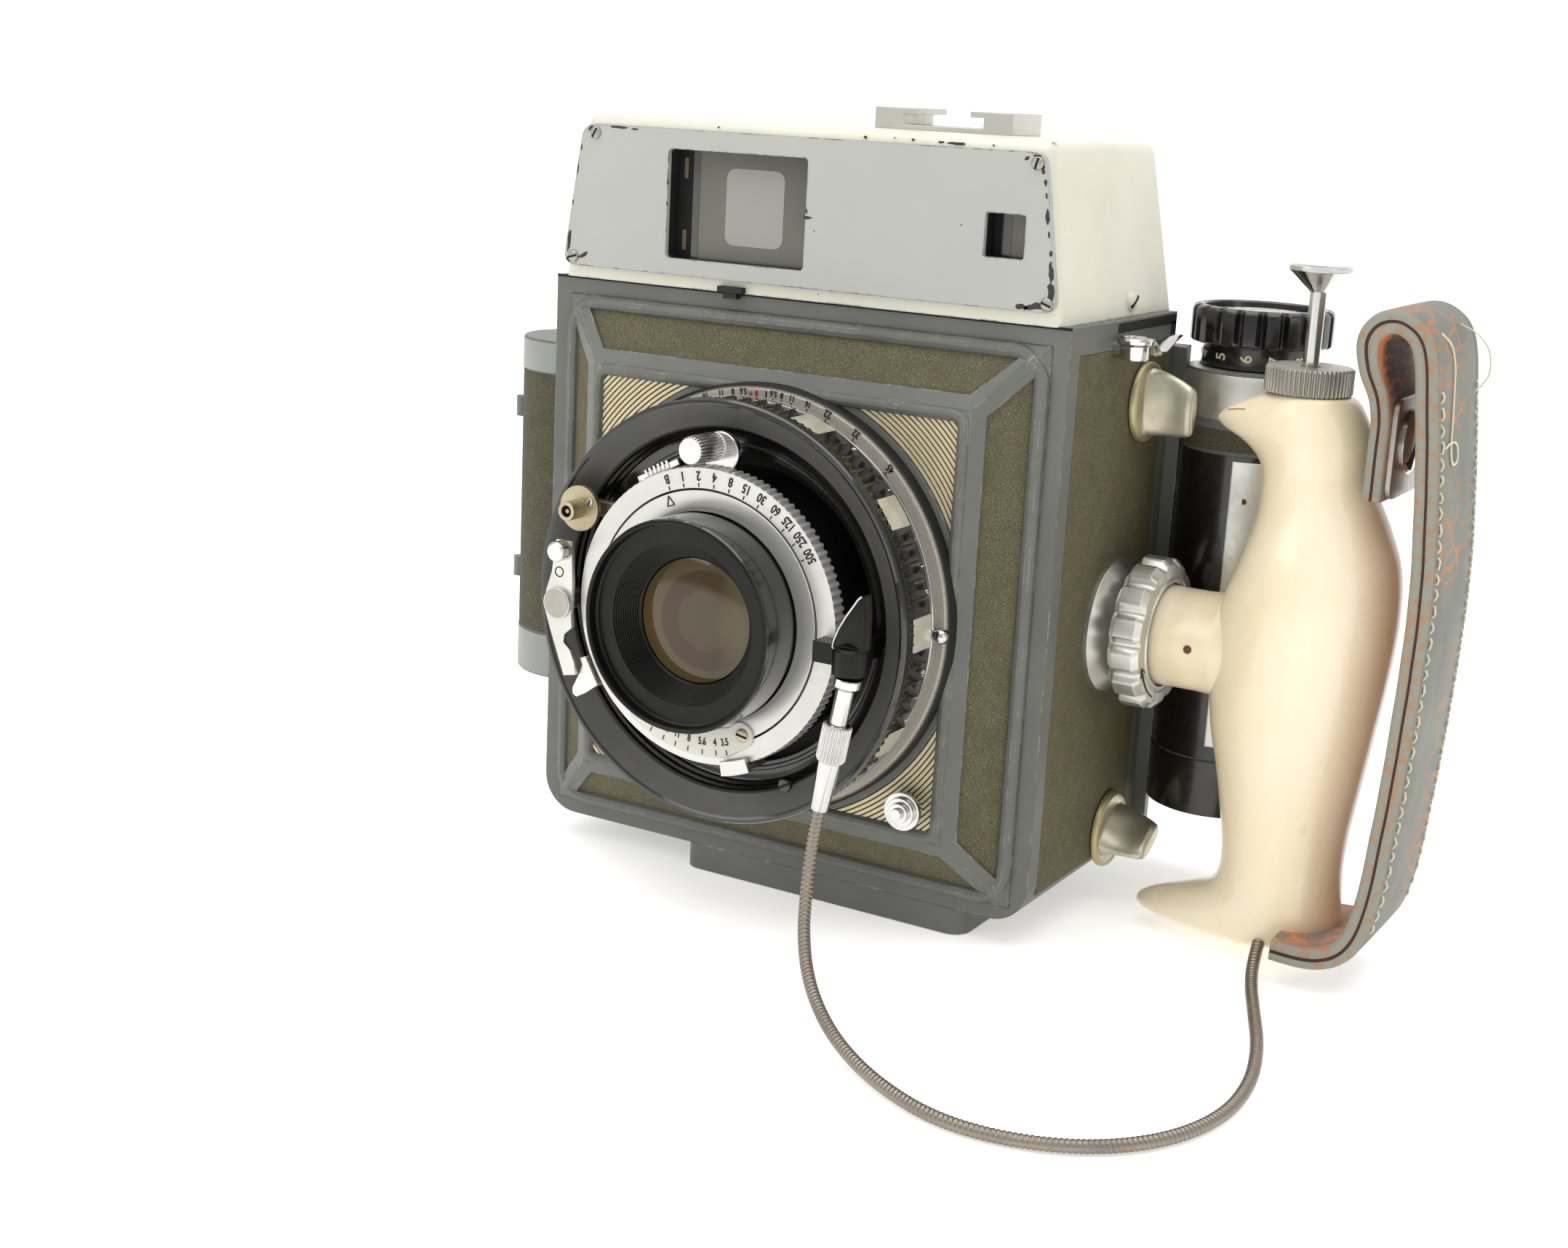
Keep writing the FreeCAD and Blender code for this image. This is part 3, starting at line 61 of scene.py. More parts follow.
def make_camera():
    ahead = Vector((math.sin(YAW) * math.cos(PITCH), math.cos(YAW) * math.cos(PITCH),
                    math.sin(PITCH)))
    right = ahead.cross(Vector((0, 0, 1))).normalized()
    up = right.cross(ahead)
    side = math.cos(ROLL) * right + math.sin(ROLL) * up
    top = -math.sin(ROLL) * right + math.cos(ROLL) * up
    data = bpy.data.cameras.new("camera")
    data.sensor_width = 36
    data.lens = FOCAL_PIXELS / PICTURE_WIDTH * data.sensor_width
    data.clip_start, data.clip_end = 0.01, 20
    camera = bpy.data.objects.new("camera", data)
    camera.matrix_world = Matrix.Translation(CAMERA_AT * MM) @ Matrix(
        (side, top, -ahead)).transposed().to_4x4()
    scene.collection.objects.link(camera)
    scene.camera = camera


make_camera()

# ---- materials


def linear(hexcode):
    """An sRGB colour such as "8a7f6b" in linear light."""
    parts = [int(hexcode[i:i + 2], 16) / 255 for i in (0, 2, 4)]
    return [p / 12.92 if p < 0.04045 else ((p + 0.055) / 1.055) ** 2.4 for p in parts] + [1.0]


class Finish:
    """A procedural material on one Principled shader, in object coordinates in metres."""

    def __init__(self, name, colour, rough, metal=0.0, **sockets):
        self.mat = bpy.data.materials.new(name)
        self.mat.use_nodes = True
        self.tree = self.mat.node_tree
        self.shader = self.tree.nodes["Principled BSDF"]
        self.base = linear(colour) if isinstance(colour, str) else colour
        self.shader.inputs["Base Color"].default_value = self.base
        self.shader.inputs["Roughness"].default_value = rough
        self.shader.inputs["Metallic"].default_value = metal
        for key, value in sockets.items():
            self.shader.inputs[key.replace("_", " ")].default_value = value
        self.place = self.add("TexCoord", out="Object")
        self.normal = None
        self.mat.diffuse_color = self.base

    def add(self, kind, inputs=None, out=0, **props):
        node = self.tree.nodes.new("ShaderNode" + kind)
        for key, value in props.items():
            setattr(node, key, value)
        for key, value in (inputs or {}).items():
            if isinstance(value, bpy.types.NodeSocket):
                self.tree.links.new(value, node.inputs[key])
            else:
                node.inputs[key].default_value = value
        return node.outputs[out]

    def stretched(self, scale, place=None):
        return self.add("Mapping", {"Vector": place or self.place, "Scale": scale})

    def warped(self, scale, detail, metres):
        """The place on the object, pushed about by a noise."""
        push = self.add("TexNoise", {"Vector": self.place, "Scale": scale, "Detail": detail},
                        "Color")
        push = self.add("VectorMath", {0: push, 3: metres}, operation="SCALE")
        return self.add("VectorMath", {0: self.place, 1: push}, operation="ADD")

    def noise(self, scale, detail=4.0, rough=0.55, place=None, distortion=0.0):
        return self.add("TexNoise", {"Vector": place or self.place, "Scale": scale,
                                     "Detail": detail, "Roughness": rough,
                                     "Distortion": distortion})

    def creases(self, scale, place):
        """The distance to the nearest edge of a pattern of cells."""
        return self.add("TexVoronoi", {"Vector": place, "Scale": scale}, "Distance",
                        feature="DISTANCE_TO_EDGE")

    def math(self, operation, *values):
        return self.add("Math", dict(enumerate(values)), operation=operation)

    def span(self, value, low, high, to_low=0.0, to_high=1.0):
        return self.add("MapRange", {0: value, 1: low, 2: high, 3: to_low, 4: to_high},
                        clamp=True)

    def mix(self, amount, first, second):
        first, second = (linear(c) if isinstance(c, str) else c for c in (first, second))
        return self.add("Mix", {0: amount, 6: first, 7: second}, 2, data_type="RGBA")

    def axis(self, letter):
        """One coordinate of the place, in millimetres."""
        return self.math("MULTIPLY", self.add("SeparateXYZ", {0: self.place}, letter), 1000.0)

    def colour(self, socket):
        self.tree.links.new(socket, self.shader.inputs["Base Color"])
        return self

    def rough(self, socket):
        self.tree.links.new(socket, self.shader.inputs["Roughness"])
        return self

    def soft_edges(self, radius):
        """Rounded edges on a CAD shape, in the shading only."""
        self.normal = self.add("Bevel", {"Radius": radius * MM}, samples=4)
        self.tree.links.new(self.normal, self.shader.inputs["Normal"])
        return self

    def edge_mask(self, radius):
        """Rises from 0 to 1 within a distance of the shape's sharp edges."""
        rounded = self.add("Bevel", {"Radius": radius * MM}, samples=6)
        flat = self.add("NewGeometry", out="Normal")
        facing = self.add("VectorMath", {0: rounded, 1: flat}, "Value",
                          operation="DOT_PRODUCT")
        return self.span(facing, 0.999, 0.93)

    def bump(self, height, depth, strength=1.0):
        inputs = {"Height": height, "Distance": depth * MM, "Strength": strength}
        if self.normal is not None:
            inputs["Normal"] = self.normal
        self.normal = self.add("Bump", inputs)
        self.tree.links.new(self.normal, self.shader.inputs["Normal"])
        return self


def paint(name, colour, rough, grain, wear="57534c", worn=0.5, speckle=0.12, **sockets):
    """Painted metal: a fine orange-peel grain, cloudy grime and edges rubbed to the metal."""
    f = Finish(name, colour, rough, **sockets).soft_edges(0.5)
    cloud = f.noise(45, 6, 0.6)
    shade = f.mix(f.span(cloud, 0.3, 0.75, 0.0, speckle), colour, "3a3832")
    edge = f.math("MULTIPLY", f.edge_mask(0.55), f.span(f.noise(260, 5, 0.7), 0.5, 0.62))
    f.colour(f.mix(f.math("MULTIPLY", edge, worn), shade, wear))
    f.rough(f.span(cloud, 0.3, 0.8, rough, rough + 0.14))
    return f.bump(f.noise(grain, 3, 0.5), 0.05, 0.35)


def hide_finish(name, dark, mid, light):
    """Fine-grained leatherette: creased cells, lighter on their crests, with painted shade
    darkening the hollows between them.
    """
    rough = 0.62
    f = Finish(name, mid, rough, Specular_IOR_Level=0.35)
    wander = f.noise(220, 4, 0.6)
    squeezed = f.stretched((0.55, 0.55, 1.0), f.warped(330, 2, 0.0016))
    crease = f.creases(3100, squeezed)
    valley = f.span(crease, 0.0, 0.34)
    body = f.mix(f.span(wander, 0.3, 0.7), mid, light)
    fleck = f.span(f.noise(2600, 2, 0.6), 0.58, 0.72)
    # painted shade: the dark colour fills the creases between the cells
    base = f.mix(valley, dark, body)
    f.colour(f.mix(f.math("MULTIPLY", fleck, 0.3), base, light))
    f.rough(f.span(valley, 0.0, 1.0, rough + 0.2, rough))
    f.bump(valley, 0.05, 0.5)
    return f.bump(f.noise(900, 3, 0.6, f.stretched((0.5, 0.5, 1.4))), 0.05, 0.4)


def metal_finish(name, colour, rough, spread, radius=0.25, **sockets):
    """Bare or plated metal: finely grained, with cloudy smudges."""
    f = Finish(name, colour, rough, 1.0, **sockets).soft_edges(radius)
    streak = f.noise(900, 4, 0.65)
    smudge = f.noise(70, 5, 0.6)
    f.rough(f.add("Math", {0: f.span(streak, 0.3, 0.7, rough, rough + spread),
                           1: f.span(smudge, 0.4, 0.8, 0.0, spread)}, operation="ADD"))
    f.colour(f.mix(f.span(smudge, 0.45, 0.85, 0.0, 0.25), colour, "6f6a60"))
    return f.bump(streak, 0.01, 0.5)


def black_finish(name, rough, grain=600, colour="0d0d0e", dust=0.1, **sockets):
    """Black paint or plastic with a little dust."""
    f = Finish(name, colour, rough, **sockets).soft_edges(0.25)
    cloud = f.noise(90, 6, 0.65)
    f.colour(f.mix(f.span(cloud, 0.5, 0.8, 0.0, dust), colour, "7d776a"))
    f.rough(f.span(f.noise(240, 4), 0.3, 0.75, rough, rough + 0.12))
    return f.bump(f.noise(grain, 3), 0.012, 0.4)


mats = {}

PLAIN = {
    "ink": ("ink_black", "141414", 0.5), "ink_white": ("ink_white", "e9e6dc", 0.45),
    "ink_cream": ("ink_cream", "ddd6b4", 0.5), "red_ink": ("red_ink", "a3271c", 0.5),
    "deep_black": ("deep_black", "050505", 0.8), "chip_dark": ("chipped_paint", "2a2624", 0.6),
    "brown": ("hole_brown", "5d3512", 0.6), "scratch": ("scratch_brown", "a8603c", 0.55),
    "slot_brown": ("slot_brown", "6b5c4c", 0.5), "strap_groove": ("strap_groove", "3c1b10", 0.7),
    "mirror": ("mirror_glass", "c9c9c4", 0.03, 1.0),
}
METALS = {
    "chrome": ("chrome_plate", "cbcbc9", 0.1, 0.07),
    "silver": ("satin_silver", "c9c9c2", 0.28, 0.12),
    "steel": ("steel_screw", "a8a49b", 0.3, 0.15), "brass": ("brass_part", "b3a88c", 0.34, 0.12),
    "cable": ("spiral_steel", "8f867b", 0.32, 0.2, 0.05),
    "blade": ("blade_steel", "4a4640", 0.38, 0.1),
    "white_lever": ("white_lever", "e2dfd4", 0.36, 0.1),
    "cap_silver": ("cap_silver", "e0e0da", 0.4, 0.12, 0.5),
}
BLACKS = {
    "black": ("black_metal", 0.26), "black_matt": ("black_matt", 0.6, 1200, "090909", 0.05),
    "grille_dark": ("grille_groove", 0.5, 900, "1a1710", 0.2),
    "bellows": ("bellows_cloth", 0.75, 1400, "0a0a0a", 0.12),
    "cone_satin": ("black_satin", 0.42, 1200, "474744", 0.12),
}
PAINTS = {
    "grey_paint": ("grey_paint", "63655f", 0.42, 1500, "a3a197", 0.75, 0.3),
    "holder_grey": ("holder_grey", "6e706b", 0.4, 1500, "a3a197", 0.6, 0.25),
    "cream_plate": ("cream_plate", "d2cfc4", 0.35, 900, "b9b295", 0.2, 0.05),
    "lamp_grey": ("band_grey", "8d908c", 0.36, 1100, "55554f", 0.5, 0.15),
}


def make_materials():
    m = mats
    for recipe, table in ((Finish, PLAIN), (metal_finish, METALS), (black_finish, BLACKS),
                          (paint, PAINTS)):
        for key, values in table.items():
            m[key] = recipe(*values).mat
    m["cream_paint"] = paint("cream_paint", "d3d1c0", 0.36, 900, "2b2926", 0.8, 0.1,
                             Coat_Weight=0.25, Coat_Roughness=0.25).mat
    m["plate_grey"] = paint("plate_grey", "a9aaa5", 0.34, 900, "24221f", 0.9, 0.06,
                            Coat_Weight=0.2, Coat_Roughness=0.3).mat
    m["leather"] = hide_finish("olive_leatherette", "4a4634", "615c43", "776f53").mat
    m["leather_dark"] = hide_finish("olive_leatherette_dark", "3d3a2c", "54503d",
                                    "66614c").mat
    m["black_plastic"] = black_finish("black_plastic", 0.22, 500, "0b0b0c", 0.08,
                                      Coat_Weight=0.5, Coat_Roughness=0.12).mat
    m["black_gloss"] = black_finish("black_gloss", 0.16, 700, "121211", 0.05,
                                    Coat_Weight=0.6, Coat_Roughness=0.06).mat
    # a darker, less reflective copy of black_gloss: painted shade for glossy black faces that show
    # a dark reflection
    m["black_face"] = black_finish("black_face", 0.22, 700, "0c0c0b", 0.03,
                                   Specular_IOR_Level=0.22).mat
    m["grille_gold"] = metal_finish("grille_gold", "d6c9a4", 0.45, 0.1, 0.15, Metallic=0.6).mat
    # the darker of these two glasses is painted shade, used at the edges of the finder windows
    for key, colour, rough in (("glass_light", "8f8d85", 0.08), ("glass_dark", "3a3934", 0.1)):
        m[key] = Finish(key, colour, rough, Coat_Weight=1.0, Coat_Roughness=0.03).mat
    m["ivory"], m["glass"], m["amber"] = ivory_finish(), smoky_finish(), amber_finish()
    m["lever"], m["lever_rim"], m["flat_metal"] = lever_finish(), rim_finish(), nickel_finish()
    m["spun"], m["scale"], m["thread"] = spun_finish(), scale_finish(), thread_finish()
    m["strap_grey"], m["strap_edge"], m["suede"] = strap_finish(), edge_finish(), suede_finish()


def ivory_finish():
    """Yellowed plastic with faint flow lines and a few stains."""
    f = Finish("ivory_plastic", "e2d5b9", 0.26, Coat_Weight=0.3, Coat_Roughness=0.12,
               Subsurface_Weight=0.05, Subsurface_Scale=0.003)
    flow = f.noise(24, 6, 0.6, f.stretched((1.6, 1.6, 0.35)), 1.2)
    stain = f.span(f.noise(110, 5, 0.7), 0.66, 0.74)
    ivory = f.mix(f.span(flow, 0.35, 0.7), "ebdfc6", "e3d3b0")
    f.colour(f.mix(f.math("MULTIPLY", stain, 0.2), ivory, "b99c6c"))
    return f.rough(f.span(flow, 0.3, 0.7, 0.2, 0.32)).bump(f.noise(60, 2), 0.05, 0.2).mat


def smoky_finish():
    f = Finish("smoky_glass", "64625a", 0.06, Specular_IOR_Level=0.35, Coat_Weight=0.3,
               Coat_Roughness=0.03)
    haze = f.span(f.noise(18, 4, 0.5), 0.35, 0.65)
    f.colour(f.mix(haze, "5e5c53", "716f65"))
    return f.rough(f.span(f.noise(300, 3), 0.3, 0.8, 0.04, 0.16)).mat


def lever_finish():
    f = Finish("lever_silver", "c6c0ab", 0.38, 0.8).soft_edges(0.5)
    f.colour(f.mix(f.span(f.noise(120, 5), 0.4, 0.75), "cfcab6", "a8a188"))
    return f.bump(f.noise(900, 3), 0.015, 0.5).mat


def rim_finish():
    f = Finish("lever_rim", "b9b083", 0.4, 0.7).soft_edges(0.3)
    return f.bump(f.noise(700, 3), 0.02, 0.5).mat


def nickel_finish():
    """The worn flats of the focus ring."""
    f = Finish("flat_nickel", "d6d2c0", 0.3, 0.35).soft_edges(0.2)
    patch = f.noise(140, 4, 0.6, f.stretched((1, 0.5, 1)))
    f.colour(f.mix(f.span(patch, 0.4, 0.65), "dcd8c8", "c3bea9"))
    return f.rough(f.span(patch, 0.3, 0.7, 0.16, 0.3)).mat


def spun_finish():
    """Silver turned about the lens axis, which streaks its highlights."""
    f = Finish("spun_silver", "cdcdc8", 0.34, 0.62, Anisotropic=0.7).soft_edges(0.15)
    tangent = f.add("Tangent", direction_type="RADIAL", axis="Y")
    f.tree.links.new(tangent, f.shader.inputs["Tangent"])
    return f.rough(f.span(f.noise(900, 3), 0.3, 0.7, 0.28, 0.38)).mat


def scale_finish():
    f = Finish("scale_silver", "b0aa9d", 0.48, 0.3).soft_edges(0.2)
    grit = f.noise(2600, 2, 0.7)
    f.colour(f.mix(f.span(grit, 0.35, 0.7), "a19b8e", "bdb7ab"))
    return f.bump(grit, 0.02, 0.6).mat


def strap_finish():
    """Grey leather, cracked through to the brown hide."""
    f = Finish("strap_grey", "7d7b73", 0.55, Specular_IOR_Level=0.35)
    crack = f.creases(155, f.stretched((1.0, 0.75, 1.5), f.warped(120, 3, 0.006)))
    region = f.span(f.noise(42, 3, 0.6), 0.42, 0.6)
    thin = f.math("MULTIPLY", f.span(crack, 0.075, 0.02), region)
    tone = f.mix(f.span(f.noise(60, 5), 0.3, 0.7), "656961", "7b7e75")
    f.colour(f.mix(thin, tone, "b07040"))
    height = f.math("SUBTRACT", f.noise(900, 3), f.math("MULTIPLY", thin, 0.8))
    return f.bump(height, 0.12, 0.5).mat


def edge_finish():
    f = Finish("strap_edge", "8c6a50", 0.62)
    spots = f.span(f.noise(620, 4, 0.7), 0.49, 0.6)
    f.colour(f.mix(spots, "868a7e", "9c7a5c"))
    return f.bump(f.noise(800, 3), 0.15, 0.6).mat


def suede_finish():
    """The strap's inner face: orange suede with a painted shadow darkening it under the fold, and
    greyed lower down.
    """
    f = Finish("strap_suede", "c8712f", 0.9, Sheen_Weight=0.3)
    y, z = f.axis("Y"), f.axis("Z")
    ripple = f.noise(520, 4, 0.7, f.stretched((1, 0.4, 1.6)))
    # painted shadow: the suede is darkened where the fold hangs over it
    fold_shadow_z = f.math("MULTIPLY", f.span(z, 112, 116), f.span(z, 129.2, 126.5))
    fold_shadow_y = f.math("MULTIPLY", f.span(y, -8.5, -5.5), f.span(y, 14.5, 11.5))
    stain = f.math("MULTIPLY", f.math("MULTIPLY", fold_shadow_z, fold_shadow_y), f.span(ripple, 0.3, 0.5))
    low_grey = f.math("MULTIPLY", f.span(z, 119, 112), f.span(f.noise(300, 3), 0.35, 0.6))
    suede = f.mix(f.span(f.noise(420, 4, 0.6), 0.3, 0.7), "b5602a", "d58a4b")
    f.colour(f.mix(low_grey, f.mix(stain, suede, "3a3a35"), "77736c"))
    return f.bump(f.noise(1300, 4, 0.7), 0.15, 0.7).mat


def thread_finish():
    f = Finish("cream_thread", "cfc7ae", 0.8, Sheen_Weight=0.4)
    twist = f.add("TexWave", {"Vector": f.place, "Scale": 1100.0, "Distortion": 2.0},
                  bands_direction="DIAGONAL")
    f.colour(f.mix(twist, "b7ad92", "e2dcc6"))
    return f.bump(twist, 0.08, 0.6).mat


def amber_finish():
    """The coated front lens: amber-brown glass with painted reflections, a lighter spot and ring
    about a point off the axis, and a painted highlight to one side.
    """
    f = Finish("amber_glass", "56442a", 0.07, Specular_IOR_Level=0.3, Coat_Weight=0.25,
               Coat_Roughness=0.02)
    x, z = f.axis("X"), f.axis("Z")
    # painted reflections of the inner lens rings, centred on a point off the axis
    off_x = f.math("SUBTRACT", x, 2.6)
    off_z = f.math("SUBTRACT", z, 65.5)
    reach = f.math("SQRT", f.math("ADD", f.math("MULTIPLY", off_x, off_x),
                                  f.math("MULTIPLY", off_z, off_z)))
    inner = f.mix(f.span(reach, 5.5, 6.3), "473d28", "3d2d17")
    outer = f.mix(f.span(reach, 9.6, 10.2), inner, "524529")
    # painted highlight: the glass is brighter towards one side
    side = f.mix(f.span(x, 5.5, 10.5), outer, "5f5539")
    cloud = f.span(f.noise(60, 3), 0.35, 0.7)
    f.colour(f.mix(f.math("MULTIPLY", cloud, 0.35), side, "33240e"))
    return f.mat


make_materials()

# ---- mesh making

LENS_HEIGHT = 65
GRIP_MIDDLE, NECK_HEIGHT = 4.2, 62.3
SUPPLY_AT, TAKEUP_AT = (-93.1, 32.3), (75.7, 33.9)


def lens(radius, angle, ahead):
    """A place about the lens axis. Angles are clockwise from the top, seen from the front."""
    turn = math.radians(angle)
    return (radius * math.sin(turn), -ahead, LENS_HEIGHT + radius * math.cos(turn))


def off_lens_axis(middle):
    return math.hypot(middle.x, middle.z - LENS_HEIGHT)


def on_front(u, v, h):
    return (u, -h, v)


def on_back(u, v, h):
    return (u, h, v)


def ahead_of(depth):
    """On a face that looks ahead, at a distance in front of the back plane."""
    return lambda u, v, h: (u, -depth - h, v)


def about_z(x, y):
    return lambda r, a, h: (x + r * math.cos(math.radians(a)), y + r * math.sin(math.radians(a)),
                            h)


def about_x(y, z):
    return lambda r, a, h: (h, y + r * math.cos(math.radians(a)), z + r * math.sin(math.radians(a)))


def about_y(x, z, start=0.0, way=1):
    """About an axis along Y, with distances from start towards the back, or the front if way
    is -1."""
    return lambda r, a, h: (x + r * math.cos(math.radians(a)), start + way * h,
                            z + r * math.sin(math.radians(a)))


def about_lens(x, z):
    """About an axis parallel to the lens axis. Angles are clockwise from the top."""
    return lambda r, a, h: (x + r * math.sin(math.radians(a)), -h,
                            z + r * math.cos(math.radians(a)))


def grid(rings, wrap=True, closed=False, caps=(False, False)):
    """Faces between rings of equal length: wrap joins each ring's ends, closed joins the last
    ring to the first, and caps fill the first and last ring."""
    count, width = len(rings), len(rings[0])
    verts = [p for ring in rings for p in ring]
    faces = []
    for i in range(count if closed else count - 1):
        a, b = i * width, (i + 1) % count * width
        for j in range(width if wrap else width - 1):
            k = (j + 1) % width
            faces.append((a + j, a + k, b + k, b + j))
    if caps[0]:
        faces.append(tuple(range(width))[::-1])
    if caps[1]:
        faces.append(tuple(range((count - 1) * width, count * width)))
    return verts, faces


def lathe(profile, place, steps=128, closed=False):
    """Turn a profile of (radius, distance)."""
    rings = [[place(r, 360 * j / steps, h) for j in range(steps)] for r, h in profile]
    return grid(rings, closed=closed)


def merged(*parts):
    verts, faces = [], []
    for v, f in parts:
        shift = len(verts)
        verts += list(v)
        faces += [tuple(i + shift for i in face) for face in f]
    return verts, faces


def prism(outline, low, high, chamfer=0.0, to=on_front):
    """A flat plate from an outline of (u, v), with its front edge eased."""
    points = [Vector(p) for p in outline]
    turn = sum(a.x * b.y - b.x * a.y for a, b in zip(points, points[1:] + points[:1]))
    rings = []
    steps = [(0, low), (0, high - chamfer), (chamfer * 0.35, high - chamfer * 0.3),
             (chamfer, high)] if chamfer else [(0, low), (0, high)]
    for inset, h in steps:
        ring = []
        for i, p in enumerate(points):
            before, after = points[i - 1], points[(i + 1) % len(points)]
            n1 = Vector((p - before).normalized().yx)
            n2 = Vector((after - p).normalized().yx)
            inward = Vector((-n1.x - n2.x, n1.y + n2.y)) * (1 if turn > 0 else -1)
            scale = inset * 2 / max(inward.length_squared, 1.0)
            q = p + inward * scale
            ring.append(to(q.x, q.y, h))
        rings.append(ring)
    return grid(rings, caps=(True, True))


def rounded(x0, x1, z0, z1, radius, steps=6):
    """A rectangle's outline with round corners."""
    out = []
    for cx, cz, start in ((x1 - radius, z1 - radius, 0), (x0 + radius, z1 - radius, 90),
                          (x0 + radius, z0 + radius, 180), (x1 - radius, z0 + radius, 270)):
        for i in range(steps + 1):
            t = math.radians(start + 90 * i / steps)
            out.append((cx + radius * math.cos(t), cz + radius * math.sin(t)))
    return out


def round_polygon(corners, radius, steps=5):
    """Any convex outline with its corners rounded."""
    out = []
    points = [Vector(c) for c in corners]
    for i, p in enumerate(points):
        back = (points[i - 1] - p).normalized()
        on = (points[(i + 1) % len(points)] - p).normalized()
        for j in range(steps + 1):
            t = j / steps
            a, b = p + back * radius, p + on * radius
            out.append(tuple(a * (1 - t) ** 2 + p * 2 * t * (1 - t) + b * t ** 2))
    return out


def tube(path, radius, sides=10, closed=False):
    """A round bar along a path. radius may be a function of the index and the angle."""
    points = [Vector(p) for p in path]
    count = len(points)
    rings, side = [], None
    for i, p in enumerate(points):
        ahead = points[(i + 1) % count] if closed or i + 1 < count else p
        behind = points[i - 1] if closed or i else p
        along = (ahead - behind).normalized()
        if side is None:
            side = along.orthogonal().normalized()
        side = (side - along * side.dot(along)).normalized()
        other = along.cross(side)
        ring = []
        for j in range(sides):
            t = 2 * math.pi * j / sides
            r = radius(i, t) if callable(radius) else radius
            ring.append(p + side * (r * math.cos(t)) + other * (r * math.sin(t)))
        rings.append(ring)
    return grid(rings, closed=closed, caps=(not closed, not closed))


def piece(name, body, material, data, hides=(), sharp=35, parts=None, weld=True):
    """Make a mesh in place, give it its look and let it ride on its body. parts is a function
    from a face's middle, in millimetres, to the number of its material."""
    mesh = bpy.data.meshes.new(name)
    verts = [tuple(c * MM for c in p) for p in data[0]]
    mesh.from_pydata(verts, [], data[1])
    made = bmesh.new()
    made.from_mesh(mesh)
    if weld:
        bmesh.ops.remove_doubles(made, verts=made.verts, dist=1e-6)
    bmesh.ops.recalc_face_normals(made, faces=made.faces)
    made.to_mesh(mesh)
    made.free()
    mesh.shade_smooth()
    mesh.set_sharp_from_angle(angle=math.radians(sharp))
    for item in ([material] if isinstance(material, str) else material):
        mesh.materials.append(mats[item])
    if parts:
        for face in mesh.polygons:
            face.material_index = parts(Vector(face.center) / MM)
    obj = bpy.data.objects.new(name, mesh)
    scene.collection.objects.link(obj)
    if isinstance(body, str):
        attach(obj, body)
    if hides:
        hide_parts(*hides)
    return obj


# ---- the cable release's sheath, which lies on the table

SHEATH_ROUTE = (
    (100.6, -4.0, 6.6), (101.4, -9.6, 3.9), (103.6, -17.2, 1.9), (108.4, -29.0, 1.3),
    (114.4, -44.0, 1.3), (118.4, -60.0, 1.3), (118.6, -75.0, 1.3), (113.8, -88.4, 1.3),
    (104.6, -98.4, 1.3), (92.4, -103.8, 1.3), (79.4, -104.4, 1.3), (66.8, -99.6, 1.5),
    (55.6, -92.8, 2.2), (46.4, -85.6, 4.2), (38.9, -78.0, 7.4), (33.6, -70.8, 12.2),
    (31.1, -66.1, 17.4), (29.95, -63.3, 22.8), (29.87, -62.05, 28.36), (30.65, -62.0, 33.5))
SHEATH_RADIUS = 1.25
SPIRAL_PITCH, STEPS_PER_TURN, GROOVE_DEPTH = 0.95, 6, 0.24


def make_sheath():
    curve = bpy.data.curves.new("sheath_line", "CURVE")
    curve.dimensions = "3D"
    curve.resolution_u = 24
    spline = curve.splines.new("NURBS")
    spline.points.add(len(SHEATH_ROUTE) - 1)
    for point, place in zip(spline.points, SHEATH_ROUTE):
        point.co = (*(c * MM for c in place), 1.0)
    spline.order_u = 3
    spline.use_endpoint_u = True
    holder = bpy.data.objects.new("sheath_line", curve)
    scene.collection.objects.link(holder)
    line = bpy.data.meshes.new_from_object(holder)
    path = [v.co / MM for v in line.vertices]
    bpy.data.objects.remove(holder)
    bpy.data.meshes.remove(line)
    # even steps along the line
    run = [0.0]
    for a, b in zip(path, path[1:]):
        run.append(run[-1] + (b - a).length)
    wanted = np.arange(0, run[-1], SPIRAL_PITCH / STEPS_PER_TURN)
    even = [Vector(p) for p in zip(*(np.interp(wanted, run, [p[k] for p in path])
                                     for k in range(3)))] + [path[-1]]

    def wound(index, turn):
        phase = (index / STEPS_PER_TURN - turn / (2 * math.pi)) % 1
        return SHEATH_RADIUS - GROOVE_DEPTH * (1 - math.sin(math.pi * phase)) ** 1.5

    sheath = piece("cable_sheath_spiral", None, "cable", tube(even, wound, 14),
                   ("cable_sheath",), sharp=180, weld=False)
    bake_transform(sheath)
    [c * MM for c in SHEATH_ROUTE[0]]


make_sheath()

# ---- letters, numbers and small hardware


def glyphs(text, size, thick, weight):
    curve = bpy.data.curves.new("numeral", "FONT")
    curve.body, curve.size, curve.extrude = text, size, thick
    curve.align_x = curve.align_y = "CENTER"
    curve.resolution_u = 3
    curve.offset = size * weight
    holder = bpy.data.objects.new("numeral", curve)
    scene.collection.objects.link(holder)
    mesh = bpy.data.meshes.new_from_object(holder)
    verts = [tuple(v.co) for v in mesh.vertices]
    faces = [tuple(p.vertices) for p in mesh.polygons]
    bpy.data.objects.remove(holder)
    bpy.data.meshes.remove(mesh)
    return verts, faces


def written(text, size, to, thick=0.04, width=1.0, weight=0.012):
    verts, faces = glyphs(text, size, thick, weight)
    return [to(u * width, v, h) for u, v, h in verts], faces


